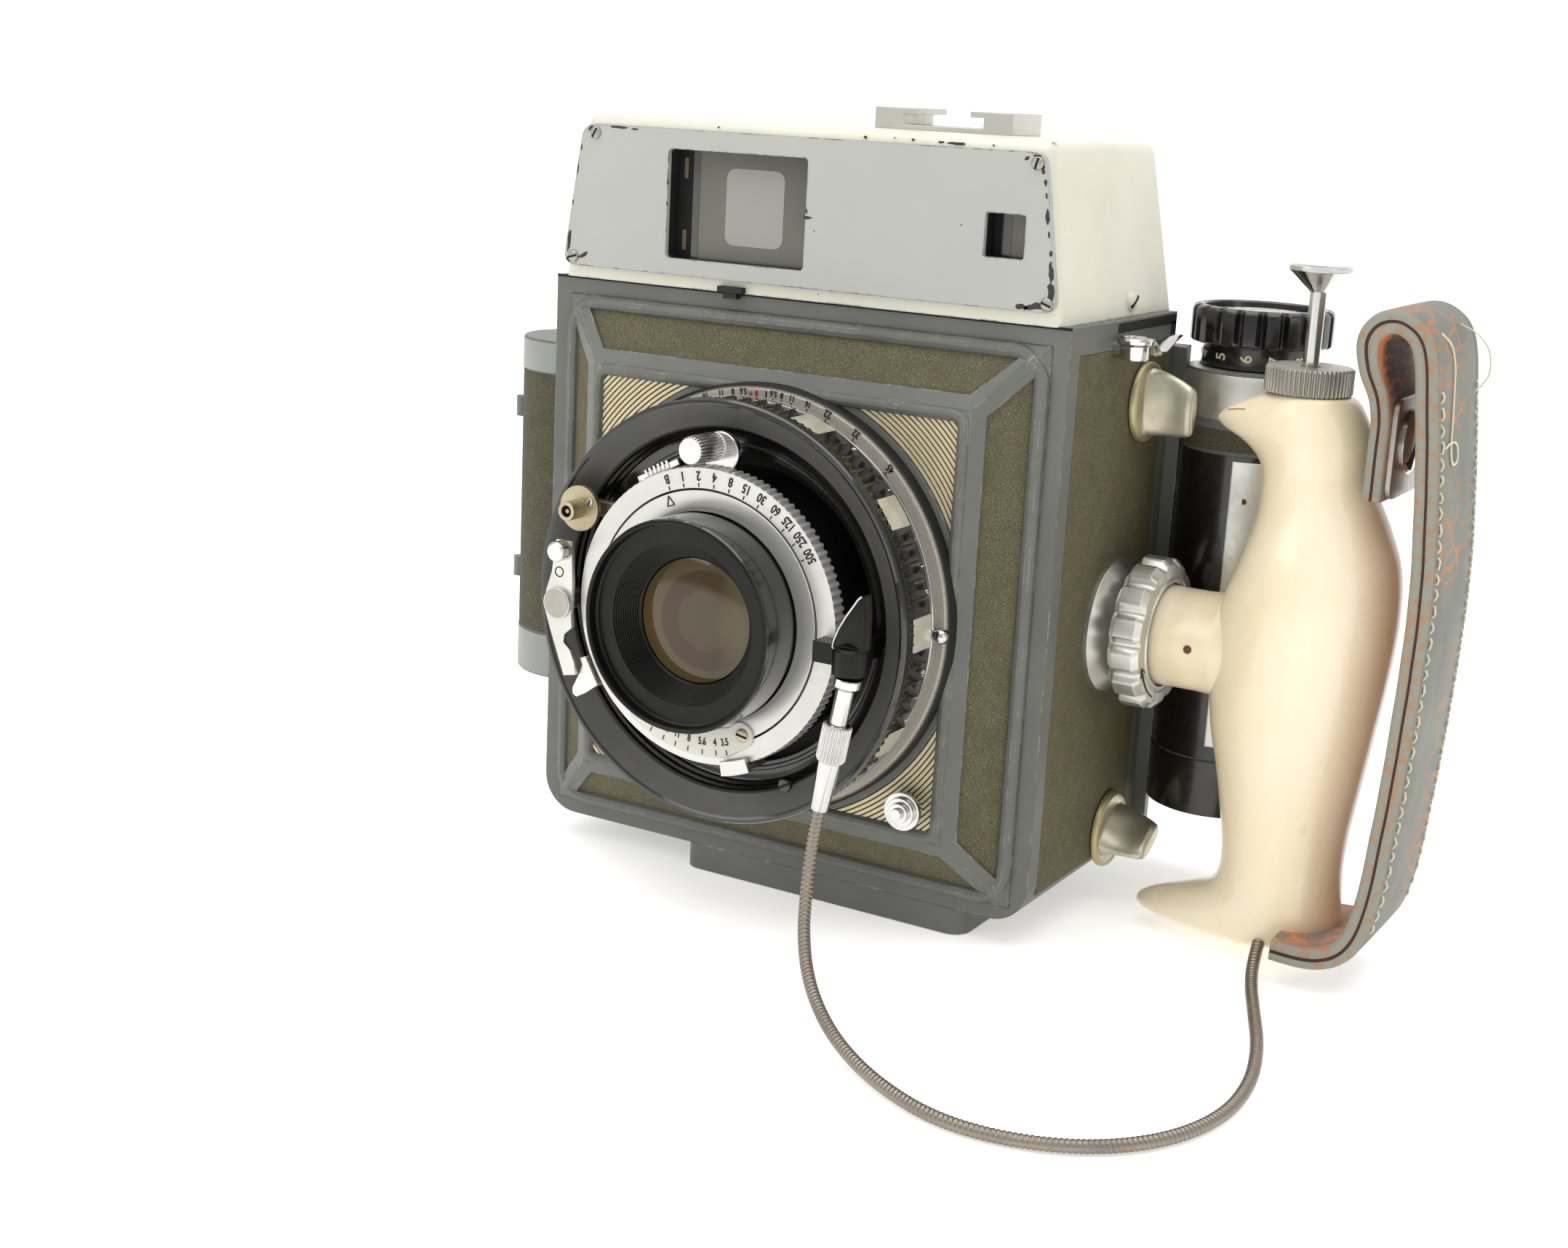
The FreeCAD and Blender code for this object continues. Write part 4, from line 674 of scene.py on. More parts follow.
def on_ring(radius, angle, ahead, upward=-1):
    """Writing on a face about the lens axis, its top towards the centre unless upward is 1."""
    turn = math.radians(angle)
    up = Vector((math.sin(turn), 0, math.cos(turn))) * upward
    right = Vector((up.z, 0, -up.x))
    centre = Vector(lens(radius, angle, ahead))
    return lambda u, v, h: centre + right * u + up * v - Vector((0, h, 0))


BOX_FACES = [(0, 3, 2, 1), (4, 5, 6, 7), (0, 1, 5, 4), (1, 2, 6, 5), (2, 3, 7, 6), (3, 0, 4, 7)]


def bar(to, u0, u1, v0, v1, h0=-0.05, h1=0.05):
    """A small box in a local frame."""
    verts = [to(u, v, h) for h in (h0, h1) for u, v in ((u0, v0), (u1, v0), (u1, v1), (u0, v1))]
    return verts, BOX_FACES


def stroke(to, start, end, half_width):
    """A straight printed line between two points of a local frame."""
    a, b = Vector(start), Vector(end)
    along = (b - a).normalized()
    side = Vector((-along.y, along.x)) * half_width
    verts = [to(c.x, c.y, h) for h in (-0.05, 0.05) for c in (a + side, b + side, b - side,
                                                              a - side)]
    return verts, BOX_FACES


def box(x0, x1, y0, y1, z0, z1):
    return bar(lambda u, v, h: (u, v, h), x0, x1, y0, y1, z0, z1)


def turned_by(profile, place, radius_at, angles, closed=False):
    """Like lathe, with its own list of angles and a radius that follows the angle."""
    rings = [[place(radius_at(i, r, a), a, h) for a in angles] for i, (r, h) in
             enumerate(profile)]
    return grid(rings, closed=closed)


def knurled(profile, place, count, depth, ridged, closed=False, flank=0.28):
    """A turned piece with sharp ridges on the rings whose numbers are in ridged. Each ridge and
    each groove is flat for a share of the pitch, which is flank."""
    hollow = (0.5, round(0.5 + flank, 2))
    angles = [360 * (k + f) / count for k in range(count) for f in (0, flank, *hollow)]

    def radius_at(index, r, angle):
        deep = round(angle * count / 360 % 1, 2) in hollow
        return r - (depth if index in ridged and deep else 0)
    return turned_by(profile, place, radius_at, angles, closed)


def screw(name, body, place, radius, low, high, slot_turn, material="steel"):
    """A domed screw head whose slot is a dark bar set into it, as painted shade in the slot."""
    rise = high - low
    dome = lathe([(radius, low), (radius, low + rise * 0.55), (radius * 0.8, high - rise * 0.1),
                  (radius * 0.4, high), (0.001, high)], place, 32)
    half_length, half_width = radius * 0.86, radius * 0.18

    def to(u, v, h):
        return place(math.hypot(u, v), math.degrees(math.atan2(v, u)) + slot_turn, h)
    # painted shade: a black bar where the slot's recess lies in shade
    groove = bar(to, -half_length, half_length, -half_width, half_width, high - rise * 0.5,
                 high + 0.03)
    piece(name, body, material, dome)
    piece(name + "_slot", body, "deep_black", groove, sharp=20)


# ---- painted body, leather, grilles and frame

LOOKS = {
    "grey_paint": ("body_shell", "front_frame", "rear_plate", "base_foot", "back_frame"),
    "holder_grey": ("film_holder", "film_door"),
    "leather": ("front_leather", "side_leather"), "grille_dark": ("corner_grilles",),
    "brass": ("tripod_bush", "sync_socket"), "scale": ("depth_scale_ring",),
    "cream_paint": ("finder_housing",), "black": ("finder_eyepiece", "shutter_housing"),
    "black_matt": ("lens_tube", "pressure_plate"),
    "mirror": ("beam_splitter", "rangefinder_mirror"),
    "silver": ("accessory_shoe", "sync_lever", "aperture_lever", "dark_slide", "grip_socket"),
    "chrome": ("plunger", "extension_rods", "lens_release_button"),
    "blade": ("iris_blades", "shutter_blades"), "white_lever": ("release_lever",),
    "amber": ("rear_element",), "black_plastic": ("supply_spool", "take_up_spool"),
}
for finish, names in LOOKS.items():
    for name in names:
        mesh = nodes[name].data
        mesh.materials.clear()
        mesh.materials.append(mats[finish])


def loop_path(half_x, z0, z1, radius, y):
    return [(x, y, z) for x, z in rounded(-half_x, half_x, z0, z1, radius, 8)]


def make_frame_beads():
    outer = tube(loop_path(54.4, 10.3, 119.9, 6, -27.5), 1.55, 10, closed=True)
    inner = tube(loop_path(42.4, LENS_HEIGHT - 42.4, LENS_HEIGHT + 42.4, 2.5, -34.9), 1.3, 10,
                 closed=True)
    bars = []
    for sx in (-1, 1):
        for outer_z, inner_z in ((11.6, LENS_HEIGHT - 41.6), (118.6, LENS_HEIGHT + 41.6)):
            ends = Vector((sx * 53.2, -27.6, outer_z)), Vector((sx * 41.8, -34.8, inner_z))
            bars.append(tube([ends[0].lerp(ends[1], k / 8) for k in range(9)], 1.35, 10))
    piece("frame_beads", "root", "grey_paint", merged(outer, inner, *bars),
          weld=False)


def make_grille_ridges():
    """Curved ridges whose ends follow the straight edges of the corner panels."""
    reach, first, pitch, steps = 41.5, 45.95, 0.93, 14
    section = ((-0.36, 34.85), (-0.31, 35.12), (0.31, 35.12), (0.36, 34.85))
    parts = []
    radius = first
    while radius < reach * 1.4:
        for quarter in range(4):
            rings = []
            for k in range(steps + 1):
                ring = []
                for dr, h in section:
                    low = math.degrees(math.acos(min(1, reach / (radius + dr))))
                    angle = 90 * quarter + low + (90 - 2 * low) * k / steps
                    ring.append(lens(radius + dr, angle, h))
                rings.append(ring)
            parts.append(grid(rings, caps=(True, True)))
        radius += pitch
    piece("grille_ridges", "root", "grille_gold", merged(*parts), weld=False)


make_frame_beads()
make_grille_ridges()

# ---- depth scale, focus ring, cone and shutter

# the bright flats of the focus ring, in degrees, and the flutes between two of them
FLATS, FLAT_START, FLAT_HALF, FLUTES = 11, 22.0, 4.5, 5
FLAT_STEP = 360 / FLATS
SCALE_FACE, SPEED_FACE, PLATE_FACE = 38.55, 57.34, 58.0


def flat_offset(angle):
    """Degrees past the last flat's middle, from -FLAT_HALF up to the next flat."""
    return (angle - FLAT_START + FLAT_HALF) % FLAT_STEP - FLAT_HALF


def make_focus_ring():
    flute = (FLAT_STEP - 2 * FLAT_HALF) / FLUTES
    angles = []
    for k in range(FLATS):
        base = FLAT_START + FLAT_STEP * k
        angles += [base + d for d in (-4.48, -1.5, 1.5, 4.48)]
        for i in range(FLUTES):
            start = base + FLAT_HALF + flute * i
            angles += [start + flute * f for f in (0.06, 0.28, 0.49, 0.55, 0.76, 0.94)]

    def radius_at(index, r, angle):
        offset = flat_offset(angle)
        if index not in (3, 4, 5) or offset <= FLAT_HALF:
            return r
        phase = (offset - FLAT_HALF) / flute % 1
        return r - 1.6 * (1 - abs(phase * 2 - 1)) - 0.1

    profile = [(38.0, 39.7), (40.8, 39.7), (40.8, 42.0), (41.9, 42.05), (42.0, 42.4),
               (42.0, 49.55), (38.0, 49.55)]

    def parts(middle):
        angle = math.degrees(math.atan2(middle.x, middle.z - LENS_HEIGHT))
        return 1 if off_lens_axis(middle) > 41.4 and flat_offset(angle) < FLAT_HALF else 0

    piece("focus_ring_flutes", "focus_ring", ("black_gloss", "flat_metal"),
          turned_by(profile, lens, radius_at, angles, True), ("focus_ring",),
          parts=parts, sharp=20)
    marks = []
    rng = random.Random(4)
    for k in range(48):
        angle = 7.5 * k + 3
        length = 1.5 if k % 3 == 0 else 0.8

        def to(u, v, h, angle=angle):
            return lens(40.82 + h, angle + math.degrees(u / 41), 39.9 + v)
        marks.append(bar(to, -0.12, 0.12, 0, length, -0.05, 0.04))
        if k % 3 == 1:
            text = str(rng.choice((1, 1.5, 2, 3, 5, 7, 10, 15)))
            marks.append(written(text, 1.7, lambda u, v, h, angle=angle: lens(
                40.84 + h, angle - math.degrees(u / 41), 41.0 + v)))
    piece("focus_scale_marks", "focus_ring", "ink_white", merged(*marks),
          weld=False)
    worn = lathe([(41.75, 42.0), (41.95, 42.02), (42.0, 42.2), (41.75, 42.2)], lens, 160,
                 closed=True)
    piece("focus_ring_worn_edge", "focus_ring", "steel", worn)


def make_depth_scale():
    marks, red = [], []
    for text, angle in (("45", 43.2), ("32", 30), ("22", 20.2), ("16", 13.8), ("11", 8.7),
                        ("8", 5.5), ("5.6", 2.9), ("5.6", -6.6), ("8", -9.9), ("11", -13.7),
                        ("16", -18.8), ("22", -25.2), ("32", -35.0), ("45", -48.2)):
        size = 2.1 if text in ("45", "32", "22") else 1.7
        marks.append(written(text, size, on_ring(42.5, angle, SCALE_FACE), 0.05, 0.8, 0.02))
        marks.append(bar(on_ring(41.3, angle, SCALE_FACE), -0.1, 0.1, -0.2, 0.2))
    marks.append(bar(on_ring(41.9, 0.6, SCALE_FACE), -0.14, 0.14, -0.9, 0.9))
    red.append(bar(on_ring(41.6, -2.4, SCALE_FACE), -0.3, 0.3, -1.0, 1.0))
    red.append(written("R", 1.5, on_ring(41.9, -4.3, SCALE_FACE)))
    piece("depth_scale_numbers", "root", "ink", merged(*marks), weld=False)
    piece("depth_scale_red", "root", "red_ink", merged(*red), weld=False)
    lip = lathe([(40.0, 38.3), (40.0, 39.2), (40.3, 39.45), (40.75, 39.35), (41.0, 38.9),
                 (41.05, 38.4)], lens, 160, closed=True)
    piece("depth_scale_lip", "root", "chrome", lip)
    # painted shadow: a thin black ring round the scale ring, standing for the shaded gap between it
    # and the frame
    gap_shadow = lathe([(43.8, 35.25), (44.05, 35.25), (44.05, 38.1), (43.8, 38.45)], lens, 160,
                 closed=True)
    piece("depth_scale_gap_shadow", "root", "black_matt", gap_shadow)
    ball = lathe([(0.001, 40.3), (0.8, 40.15), (1.35, 39.6), (1.6, 38.9), (1.6, 38.3),
                  (0.001, 38.3)], about_lens(42.4, LENS_HEIGHT), 28)
    piece("focus_index_ball", "root", "chrome", ball)


def make_cone():
    profile = [(37.5, 44.6), (37.5, 50.1), (42.4, 50.05), (42.45, 50.3), (42.45, 51.5),
               (42.5, 51.9), (42.5, 53.2), (42.2, 53.75), (41.6, 53.8), (41.1, 53.5),
               (38.6, 51.7), (36.9, 50.8), (36.5, 50.2), (36.4, 49.3), (35.9, 48.9),
               (35.8, 48.0), (35.2, 47.6), (35.1, 46.9), (34.3, 46.55), (33.2, 46.5),
               (33.0, 46.8), (32.4, 46.8), (32.2, 46.5), (31.5, 46.5), (31.5, 44.6)]

    def parts(middle):
        r = off_lens_axis(middle)
        return 1 if r < 36.6 and middle.y < -46 or r > 41.2 else 0

    piece("lens_cone_rim", "lens_unit", ("cone_satin", "black_gloss"),
          knurled(profile, lens, 150, 0.5, (2, 3, 4), True, 0.3),
          ("lens_cone",), parts=parts, sharp=28)
    screw("cone_screw", "lens_unit", about_lens(16.6, 32.6), 1.6, 50.2, 51.6, 60, "black_gloss")


def make_speed_ring():
    profile = [(25.5, 53.6), (29.6, 53.6), (29.75, 53.9), (29.75, 56.7), (29.5, 57.25),
               (25.5, 57.3)]

    dial = knurled(profile, lens, 116, 0.45, (1, 2, 3), True, 0.34)
    piece("speed_dial", "speed_ring", "spun", dial, ("speed_ring",), sharp=25)
    marks = []
    for k, text in enumerate("B 1 2 4 8 15 30 60 125 250 500".split()):
        angle = -20.5 + 7.6 * k
        marks.append(written(text, 2.6, on_ring(27.95, angle, SPEED_FACE), 0.05, 0.74, 0.022))
        marks.append(bar(on_ring(26.1, angle, SPEED_FACE), -0.11, 0.11, -0.4, 0.4))
    piece("speed_numbers", "speed_ring", "ink", merged(*marks), weld=False)


def make_shutter_face():
    face = lathe([(21.0, 53.3), (25.1, 53.3), (25.1, 57.35), (25.0, 57.45), (21.3, 57.45),
                  (21.0, 57.3)], lens, 160, closed=True)
    piece("shutter_face_disc", "lens_unit", "spun", face, ("shutter_face",))
    # the aperture scale's plate, whose right end is round about its screw
    rim = [(21.9, angle) for angle in range(160, 217)]
    rim += [(27.9, angle) for angle in range(216, 164, -1)]
    outline = [lens(r, a, 0)[::2] for r, a in rim]
    outline += [(10.0 + 2.7 * math.cos(math.radians(a)), 43.1 + 2.7 * math.sin(math.radians(a)))
                for a in range(-70, 121, 10)]
    plate = prism(outline, 57.3, 57.95, 0.12)
    piece("aperture_plate", "lens_unit", "cream_plate", plate)
    marks = []
    for text, angle in (("3.5", 164.9), ("4", 170.2), ("5.6", 177.1), ("8", 184.3),
                        ("11", 190.8), ("16", 197.1), ("22", 204)):
        marks.append(written(text, 2.1, on_ring(24.8, angle, PLATE_FACE), 0.05, 0.72, 0.02))
        marks.append(bar(on_ring(26.9, angle, PLATE_FACE), -0.1, 0.1, -0.5, 0.5))
    corners = ((-0.85, 0.85), (0.85, 0.85), (0, -1.1))
    for k in range(3):
        marks.append(stroke(on_ring(23.6, -21.8, 57.5), corners[k], corners[(k + 1) % 3], 0.12))
    piece("aperture_numbers", "lens_unit", "ink", merged(*marks), weld=False)
    screw("aperture_screw", "lens_unit", about_lens(10.4, 43.2), 1.4, 57.9, 58.4, 100, "brass")
    teeth = []
    for k in range(6):
        teeth.append(bar(on_ring(30.8, -32.7 + 2.0 * k, 54.0, 1), -0.3, 0.3, -0.8, 0.8, -0.7,
                         0.3))
    teeth.append(bar(on_ring(30.7, -27.6, 54.0, 1), -5.2, 5.2, -1.0, 0.2, -0.9, 0.1))
    piece("x_lever_teeth", "lens_unit", "chrome", merged(*teeth), weld=False)


def make_barrel():
    profile = [(19.7, 48.3), (19.7, 53.4), (20.7, 53.4), (20.7, 58.9), (21.0, 59.0),
               (21.0, 67.2), (20.75, 67.75), (20.3, 67.85), (19.95, 67.6), (19.8, 65.7),
               (19.4, 65.5), (15.9, 65.35)]
    r, h = profile[-1]
    across, down = 0.28, 0.42
    for _ in range(11):
        profile += [(r, h - 0.38), (r - across, h - down)]
        r, h = r - across, h - down
    profile += [(12.5, 60.4), (12.4, 58.6), (15.0, 57.1), (15.0, 48.3)]
    # the ring's front face takes the painted-shade copy of the gloss black
    piece("front_ring_barrel", "lens_unit", ("black_gloss", "black_face"),
          lathe(profile, lens, 160, closed=True), ("front_barrel",), sharp=22,
          parts=lambda p: 1 if off_lens_axis(p) < 20.6 else 0)
    steps = [(0.001, 61.6)]
    for k in range(1, 13):
        r = 12.3 * k / 12
        steps.append((r, 59.2 + 2.4 * math.sqrt(max(0, 1 - (r / 13.6) ** 2))))
    steps += [(12.3, 56.7), (0.001, 56.7)]
    piece("front_glass", "lens_unit", "amber", lathe(steps, lens, 96),
          ("front_element",))


def make_levers():
    place = about_lens(-0.8, 98.5)
    knob = knurled([(0.001, 55.0), (2.8, 55.0), (2.8, 55.4), (2.85, 57), (2.85, 62.8),
                    (2.5, 63.4), (0.001, 63.5)], place, 26, 0.3, (2, 3, 4))
    flange = lathe([(0.001, 53.6), (4.1, 53.6), (4.2, 53.9), (4.2, 54.9), (4.0, 55.1),
                    (0.001, 55.1)], about_lens(0.6, 97.4), 48)
    arm = box(-2.9, 2.9, -53.0, -52.0, 93.5, 99.6)
    piece("cocking_knob", "cocking_lever", "chrome", merged(knob, flange, arm),
          ("cocking_lever",), weld=False)
    ring = lathe([(1.2, 60.8), (1.9, 60.8), (1.95, 60.5), (1.95, 57), (1.2, 57)],
                 about_lens(-31.2, 82.2), 32, closed=True)
    pin = lathe([(0.001, 60.5), (0.45, 60.4), (0.45, 57.6), (0.001, 57.6)],
                about_lens(-31.2, 82.2), 16)
    piece("contact_rim", "lens_unit", "brass", merged(ring, pin))
    piece("contact_bore", "lens_unit", "deep_black", lathe(
        [(0.001, 57.7), (1.3, 57.7), (1.3, 58.0), (0.001, 58.0)], about_lens(-31.2, 82.2), 24))
    screw("contact_screw", "lens_unit", about_lens(-28.4, 83.8), 0.75, 56.4, 57.0, 20, "chrome")
    # the ring on the flash lever, and its turned pivot
    pivot = lathe([(3.2, 59.4), (3.2, 60.0), (2.9, 60.3), (0.001, 60.35)],
                  about_lens(-33.5, 62.9), 40)
    piece("sync_pivot_cap", "sync_lever", "steel", pivot)
    thumb = lathe([(1.5, 59.4), (1.5, 60.4), (2.05, 60.6), (2.05, 62.2), (1.7, 62.6),
                   (0.001, 62.65)], about_lens(-32.4, 74), 32)
    piece("sync_thumb_cap", "sync_lever", "chrome", thumb)
    mark = lathe([(0.85, 59.38), (1.1, 59.38), (1.1, 59.46), (0.85, 59.46)],
                 about_lens(-33.5, 69.3), 24, closed=True)
    piece("sync_lever_mark", "sync_lever", "ink", mark)


def make_cable_end():
    x, y, low = 35.3, -62.0, 61.0
    fin = [(37.6, 76.4), (36.9, 75.7), (36.2, 74.6), (34.6, 72.2), (33.2, 69.6), (32.3, 67.2),
           (32.1, 66.0), (32.6, 65.2), (34.4, 64.8), (37.6, 64.4), (38.4, 66), (38.3, 72),
           (37.9, 76.2)]
    body = prism(fin, 59.6, 63.0, 0.3)
    boss = lathe([(0.001, low), (3.1, low), (3.3, low + 0.4), (3.3, low + 4.6),
                  (2.8, low + 5.2), (0.001, low + 5.4)], about_z(x, y), 48)
    arm = box(27, x, -61.5, -49, low + 1, low + 5)
    # the fin takes the painted-shade copy of the gloss black
    piece("cable_fin", "lens_unit", "black_face", merged(body, boss, arm),
          ("cable_socket",), sharp=30, weld=False)
    edge = [(u, -63.0, v) for u, v in fin[:10]]
    piece("cable_fin_edge", "lens_unit", "chrome", tube(edge, 0.24, 8))
    tilt = math.radians(9.8)
    axis = Vector((-math.sin(tilt), 0, -math.cos(tilt)))
    side = Vector((math.cos(tilt), 0, -math.sin(tilt)))
    start = Vector((x, y, 60.4))

    def place(r, a, h):
        t = math.radians(a)
        return start + axis * h + side * (r * math.cos(t)) + Vector((0, r * math.sin(t), 0))
    rim = lathe([(0.001, 0), (2.55, 0), (2.7, 0.2), (2.7, 1.6), (2.3, 2.1), (1.75, 2.3),
                 (1.7, 9.6), (2.5, 9.6)], place, 40)
    nut = knurled([(2.3, 9.5), (2.8, 9.8), (2.85, 10.2), (2.85, 16.4), (2.6, 16.9),
                   (2.2, 17.1)], place, 26, 0.28, (1, 2, 3, 4))
    sleeve = lathe([(2.25, 16.9), (2.2, 18.0), (1.78, 26.9), (1.6, 27.2), (0.001, 27.2)],
                   place, 40)
    piece("cable_ferrule_parts", "lens_unit", "chrome", merged(rim, nut, sleeve),
          ("cable_ferrule",), weld=False)


make_focus_ring()
make_depth_scale()
make_cone()
make_speed_ring()
make_shutter_face()
make_barrel()
make_levers()
make_cable_end()

# ---- viewfinder housing


def flake(cx, cz, length, width, tilt, seed, to):
    """A thin ragged chip of bare metal in a painted face."""
    rng = random.Random(seed)
    turn = math.radians(tilt)
    outline = []
    for k in range(14):
        t = 2 * math.pi * k / 14
        u = length / 2 * math.cos(t) * rng.uniform(0.65, 1.1)
        v = width / 2 * math.sin(t) * rng.uniform(0.45, 1.25)
        outline.append((cx + u * math.cos(turn) - v * math.sin(turn),
                        cz + u * math.sin(turn) + v * math.cos(turn)))
    verts = [to(u, v, h) for h in (0.0, 0.05) for u, v in outline]
    n = len(outline)
    return verts, [tuple(range(n))[::-1], tuple(range(n, 2 * n))] + [
        (i, (i + 1) % n, (i + 1) % n + n, i + n) for i in range(n)]


def frame_plate(outer, holes, low, high):
    """A flat plate with holes that faces the front, from outlines of (u, v)."""
    loops = [list(outer)] + [list(h) for h in holes]
    flat = [p for loop in loops for p in loop]
    count = len(flat)
    tris = tessellate_polygon([[Vector((u, v, 0)) for u, v in loop] for loop in loops])
    verts = [on_front(u, v, h) for h in (low, high) for u, v in flat]
    faces = [tuple(t) for t in tris] + [tuple(i + count for i in t) for t in tris]
    start = 0
    for loop in loops:
        n = len(loop)
        for i in range(n):
            a, b = start + i, start + (i + 1) % n
            faces.append((a, b, b + count, a + count))
        start += n
    return verts, faces


def edge_x(z):
    """Half width of the front plate at a height."""
    return 56.9 - (z - 127.5) / 29.3 * 4.5


def make_finder():
    outer = round_polygon([(-56.9, 127.5), (56.9, 127.5), (52.4, 156.8), (-52.4, 156.8)], 3.2)
    view = rounded(-31.0, 1.8, 130.9, 152.8, 0.9, 4)
    spot = rounded(40.9, 49.3, 137.0, 145.2, 0.5, 3)
    piece("finder_plate", "root", "plate_grey", frame_plate(outer, (view, spot), 27.8, 29.0),
          ("finder_front_plate",), sharp=30, weld=False)
    tunnels = [frame_plate(rounded(-31.8, 2.6, 130.1, 153.6, 0.5, 2), (view,), 24.2, 27.9),
               frame_plate(rounded(40.1, 50.1, 136.2, 146.0, 0.4, 2), (spot,), 24.2, 27.9)]
    piece("finder_tunnels", "root", "black_matt", merged(*tunnels), weld=False)
    panes = [box(-31.8, 2.6, -24.6, -24.0, 130.1, 153.6),
             box(40.1, 50.1, -24.6, -24.0, 136.2, 146.0),
             lathe([(0.001, -28.3), (5.0, -28.3), (5.0, -29.3), (0.001, -29.3)],
                   about_lens(-16, 143), 32)]
    piece("finder_panes", "root", "glass", merged(*panes), ("finder_windows",),
          weld=False)
    # painted shade: black strips at the windows' left edges for the black tunnel walls and their
    # shade seen through the glass, softened by a dark grey strip
    shadow_strips = [box(-31.8, -27.6, -24.75, -24.5, 130.1, 153.6),
              box(40.1, 42.6, -24.75, -24.5, 136.2, 146.0)]
    piece("finder_window_shadows", "root", "deep_black", merged(*shadow_strips), weld=False)
    piece("finder_window_shadow_soft", "root", "glass_dark", merged(
        box(-27.7, -26.0, -24.7, -24.5, 130.1, 153.6),
        box(42.5, 44.6, -24.7, -24.5, 136.2, 146.0)), weld=False)
    slots = [prism(rounded(-29.7, -28.8, z, z + 4.2, 0.4, 3), 24.7, 24.85)
             for z in (132.4, 146.9)]
    piece("finder_slots", "root", "slot_brown", merged(*slots), weld=False)
    light = prism(rounded(-19.5, -5.8, 134.2, 149.6, 2.0, 5), 24.55, 24.66)
    piece("finder_frame_glass", "root", "glass_light", light, weld=False)
    for index, (x, z, turn) in enumerate(((-49.3, 155.0, 30), (-54.2, 129.3, 75),
                                          (50.8, 154.8, 15), (54.8, 129.2, 110))):
        screw(f"plate_screw_{index}", "root", about_lens(x, z), 1.25, 28.9, 29.6, turn, "steel")
    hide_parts("housing_screws")


def make_finder_chips():
    """Bare metal along the front plate's edges, and along the housing's rim."""
    front = ahead_of(28.99)
    chips = [flake(x, z, length, width, tilt, i, front) for i, (x, z, length, width, tilt) in
             enumerate((
                 (2.3, 141.4, 2.2, 0.7, 0), (4.0, 138.9, 0.4, 0.3, 0), (2.0, 142.6, 0.5, 1.2, 0),
                 (edge_x(154) - 0.9, 154.0, 2.4, 1.0, 100),
                 (edge_x(152) - 0.5, 151.4, 1.6, 0.7, 98),
                 (edge_x(149) - 0.5, 149.0, 1.3, 0.5, 98), (edge_x(145) - 0.6, 145.2, 3.2, 0.9, 98),
                 (edge_x(142) - 0.5, 142.0, 1.6, 0.6, 98), (edge_x(138) - 0.5, 138.6, 1.5, 0.8, 98),
                 (edge_x(134) - 0.8, 135.2, 4.6, 1.1, 98), (edge_x(131) - 1.0, 131.4, 4.0, 1.5, 98),
                 (53.0, 128.6, 5.6, 1.7, 4), (49.6, 128.3, 3.4, 1.2, 0), (50.6, 156.2, 2.0, 0.6, 0),
                 (48.6, 155.6, 1.4, 0.7, 30), (36.0, 142.5, 0.4, 0.3, 0),
                 (-edge_x(132) + 0.8, 132.6, 5.2, 1.1, 82), (-54.6, 128.9, 3.2, 2.0, 10),
                 (-51.6, 129.8, 3.2, 0.9, 28), (-edge_x(140) + 0.3, 140.4, 1.4, 0.4, 82),
                 (-edge_x(147) + 0.3, 147.4, 2.6, 0.4, 82),
                 (-edge_x(152) + 0.3, 151.8, 1.4, 0.4, 82), (-43.6, 156.4, 4.4, 0.7, 0),
                 (-39.6, 156.2, 2.0, 0.5, 0), (-50.6, 155.9, 1.6, 0.7, 40),
                 (-31.0, 146.0, 0.5, 1.2, 0), (-31.0, 141.8, 0.4, 0.9, 0)))]
    piece("plate_chips", "root", "chip_dark", merged(*chips), weld=False)
    edge = ahead_of(27.79)
    rim = [flake(x, z, length, width, tilt, 40 + i, edge) for i, (x, z, length, width, tilt) in
           enumerate(((13.6, 157.5, 0.9, 0.7, 0), (24.0, 157.6, 0.8, 0.5, 0),
                      (30.0, 157.5, 1.6, 0.6, 0), (33.4, 157.4, 4.8, 0.6, 0),
                      (5.0, 126.6, 0.4, 0.3, 0), (-20, 157.6, 0.7, 0.4, 0),
                      (20.0, 157.7, 0.5, 0.3, 0), (41.0, 157.5, 0.6, 0.4, 0)))]
    rim += [flake(49.2, -26.2, 2.0, 1.0, 0, 60, lambda u, v, h: (u, v + 0.1, 158.32 + h)),
            flake(51.6, -24.0, 1.4, 1.0, 70, 61, lambda u, v, h: (u, v, 158.7 + h))]
    piece("housing_chips", "root", "chip_dark", merged(*rim), weld=False)


def make_finder_trim():
    screw("housing_side_screw", "root", about_x(6.6, 128.0), 2.0, 56.6, 58.3, 35,
          "cream_paint")
    piece("finder_clip", "root", "black_matt", merged(
        box(-17.9, -12.0, -29.3, -27.4, 125.1, 126.3),
        box(-16.6, -13.4, -29.0, -27.4, 123.9, 125.3)), sharp=20, weld=False)
    piece("side_gap", "root", "deep_black", merged(
        box(59.55, 59.66, -4.5, 26.8, 122.6, 124.5), box(59.55, 59.66, 24.2, 26.8, 118.6, 123)),
        sharp=20, weld=False)
    seam = box(-59.5, 59.5, -27.25, -26.6, 124.6, 125.1)
    piece("housing_seam", "root", "deep_black", seam, sharp=20, weld=False)


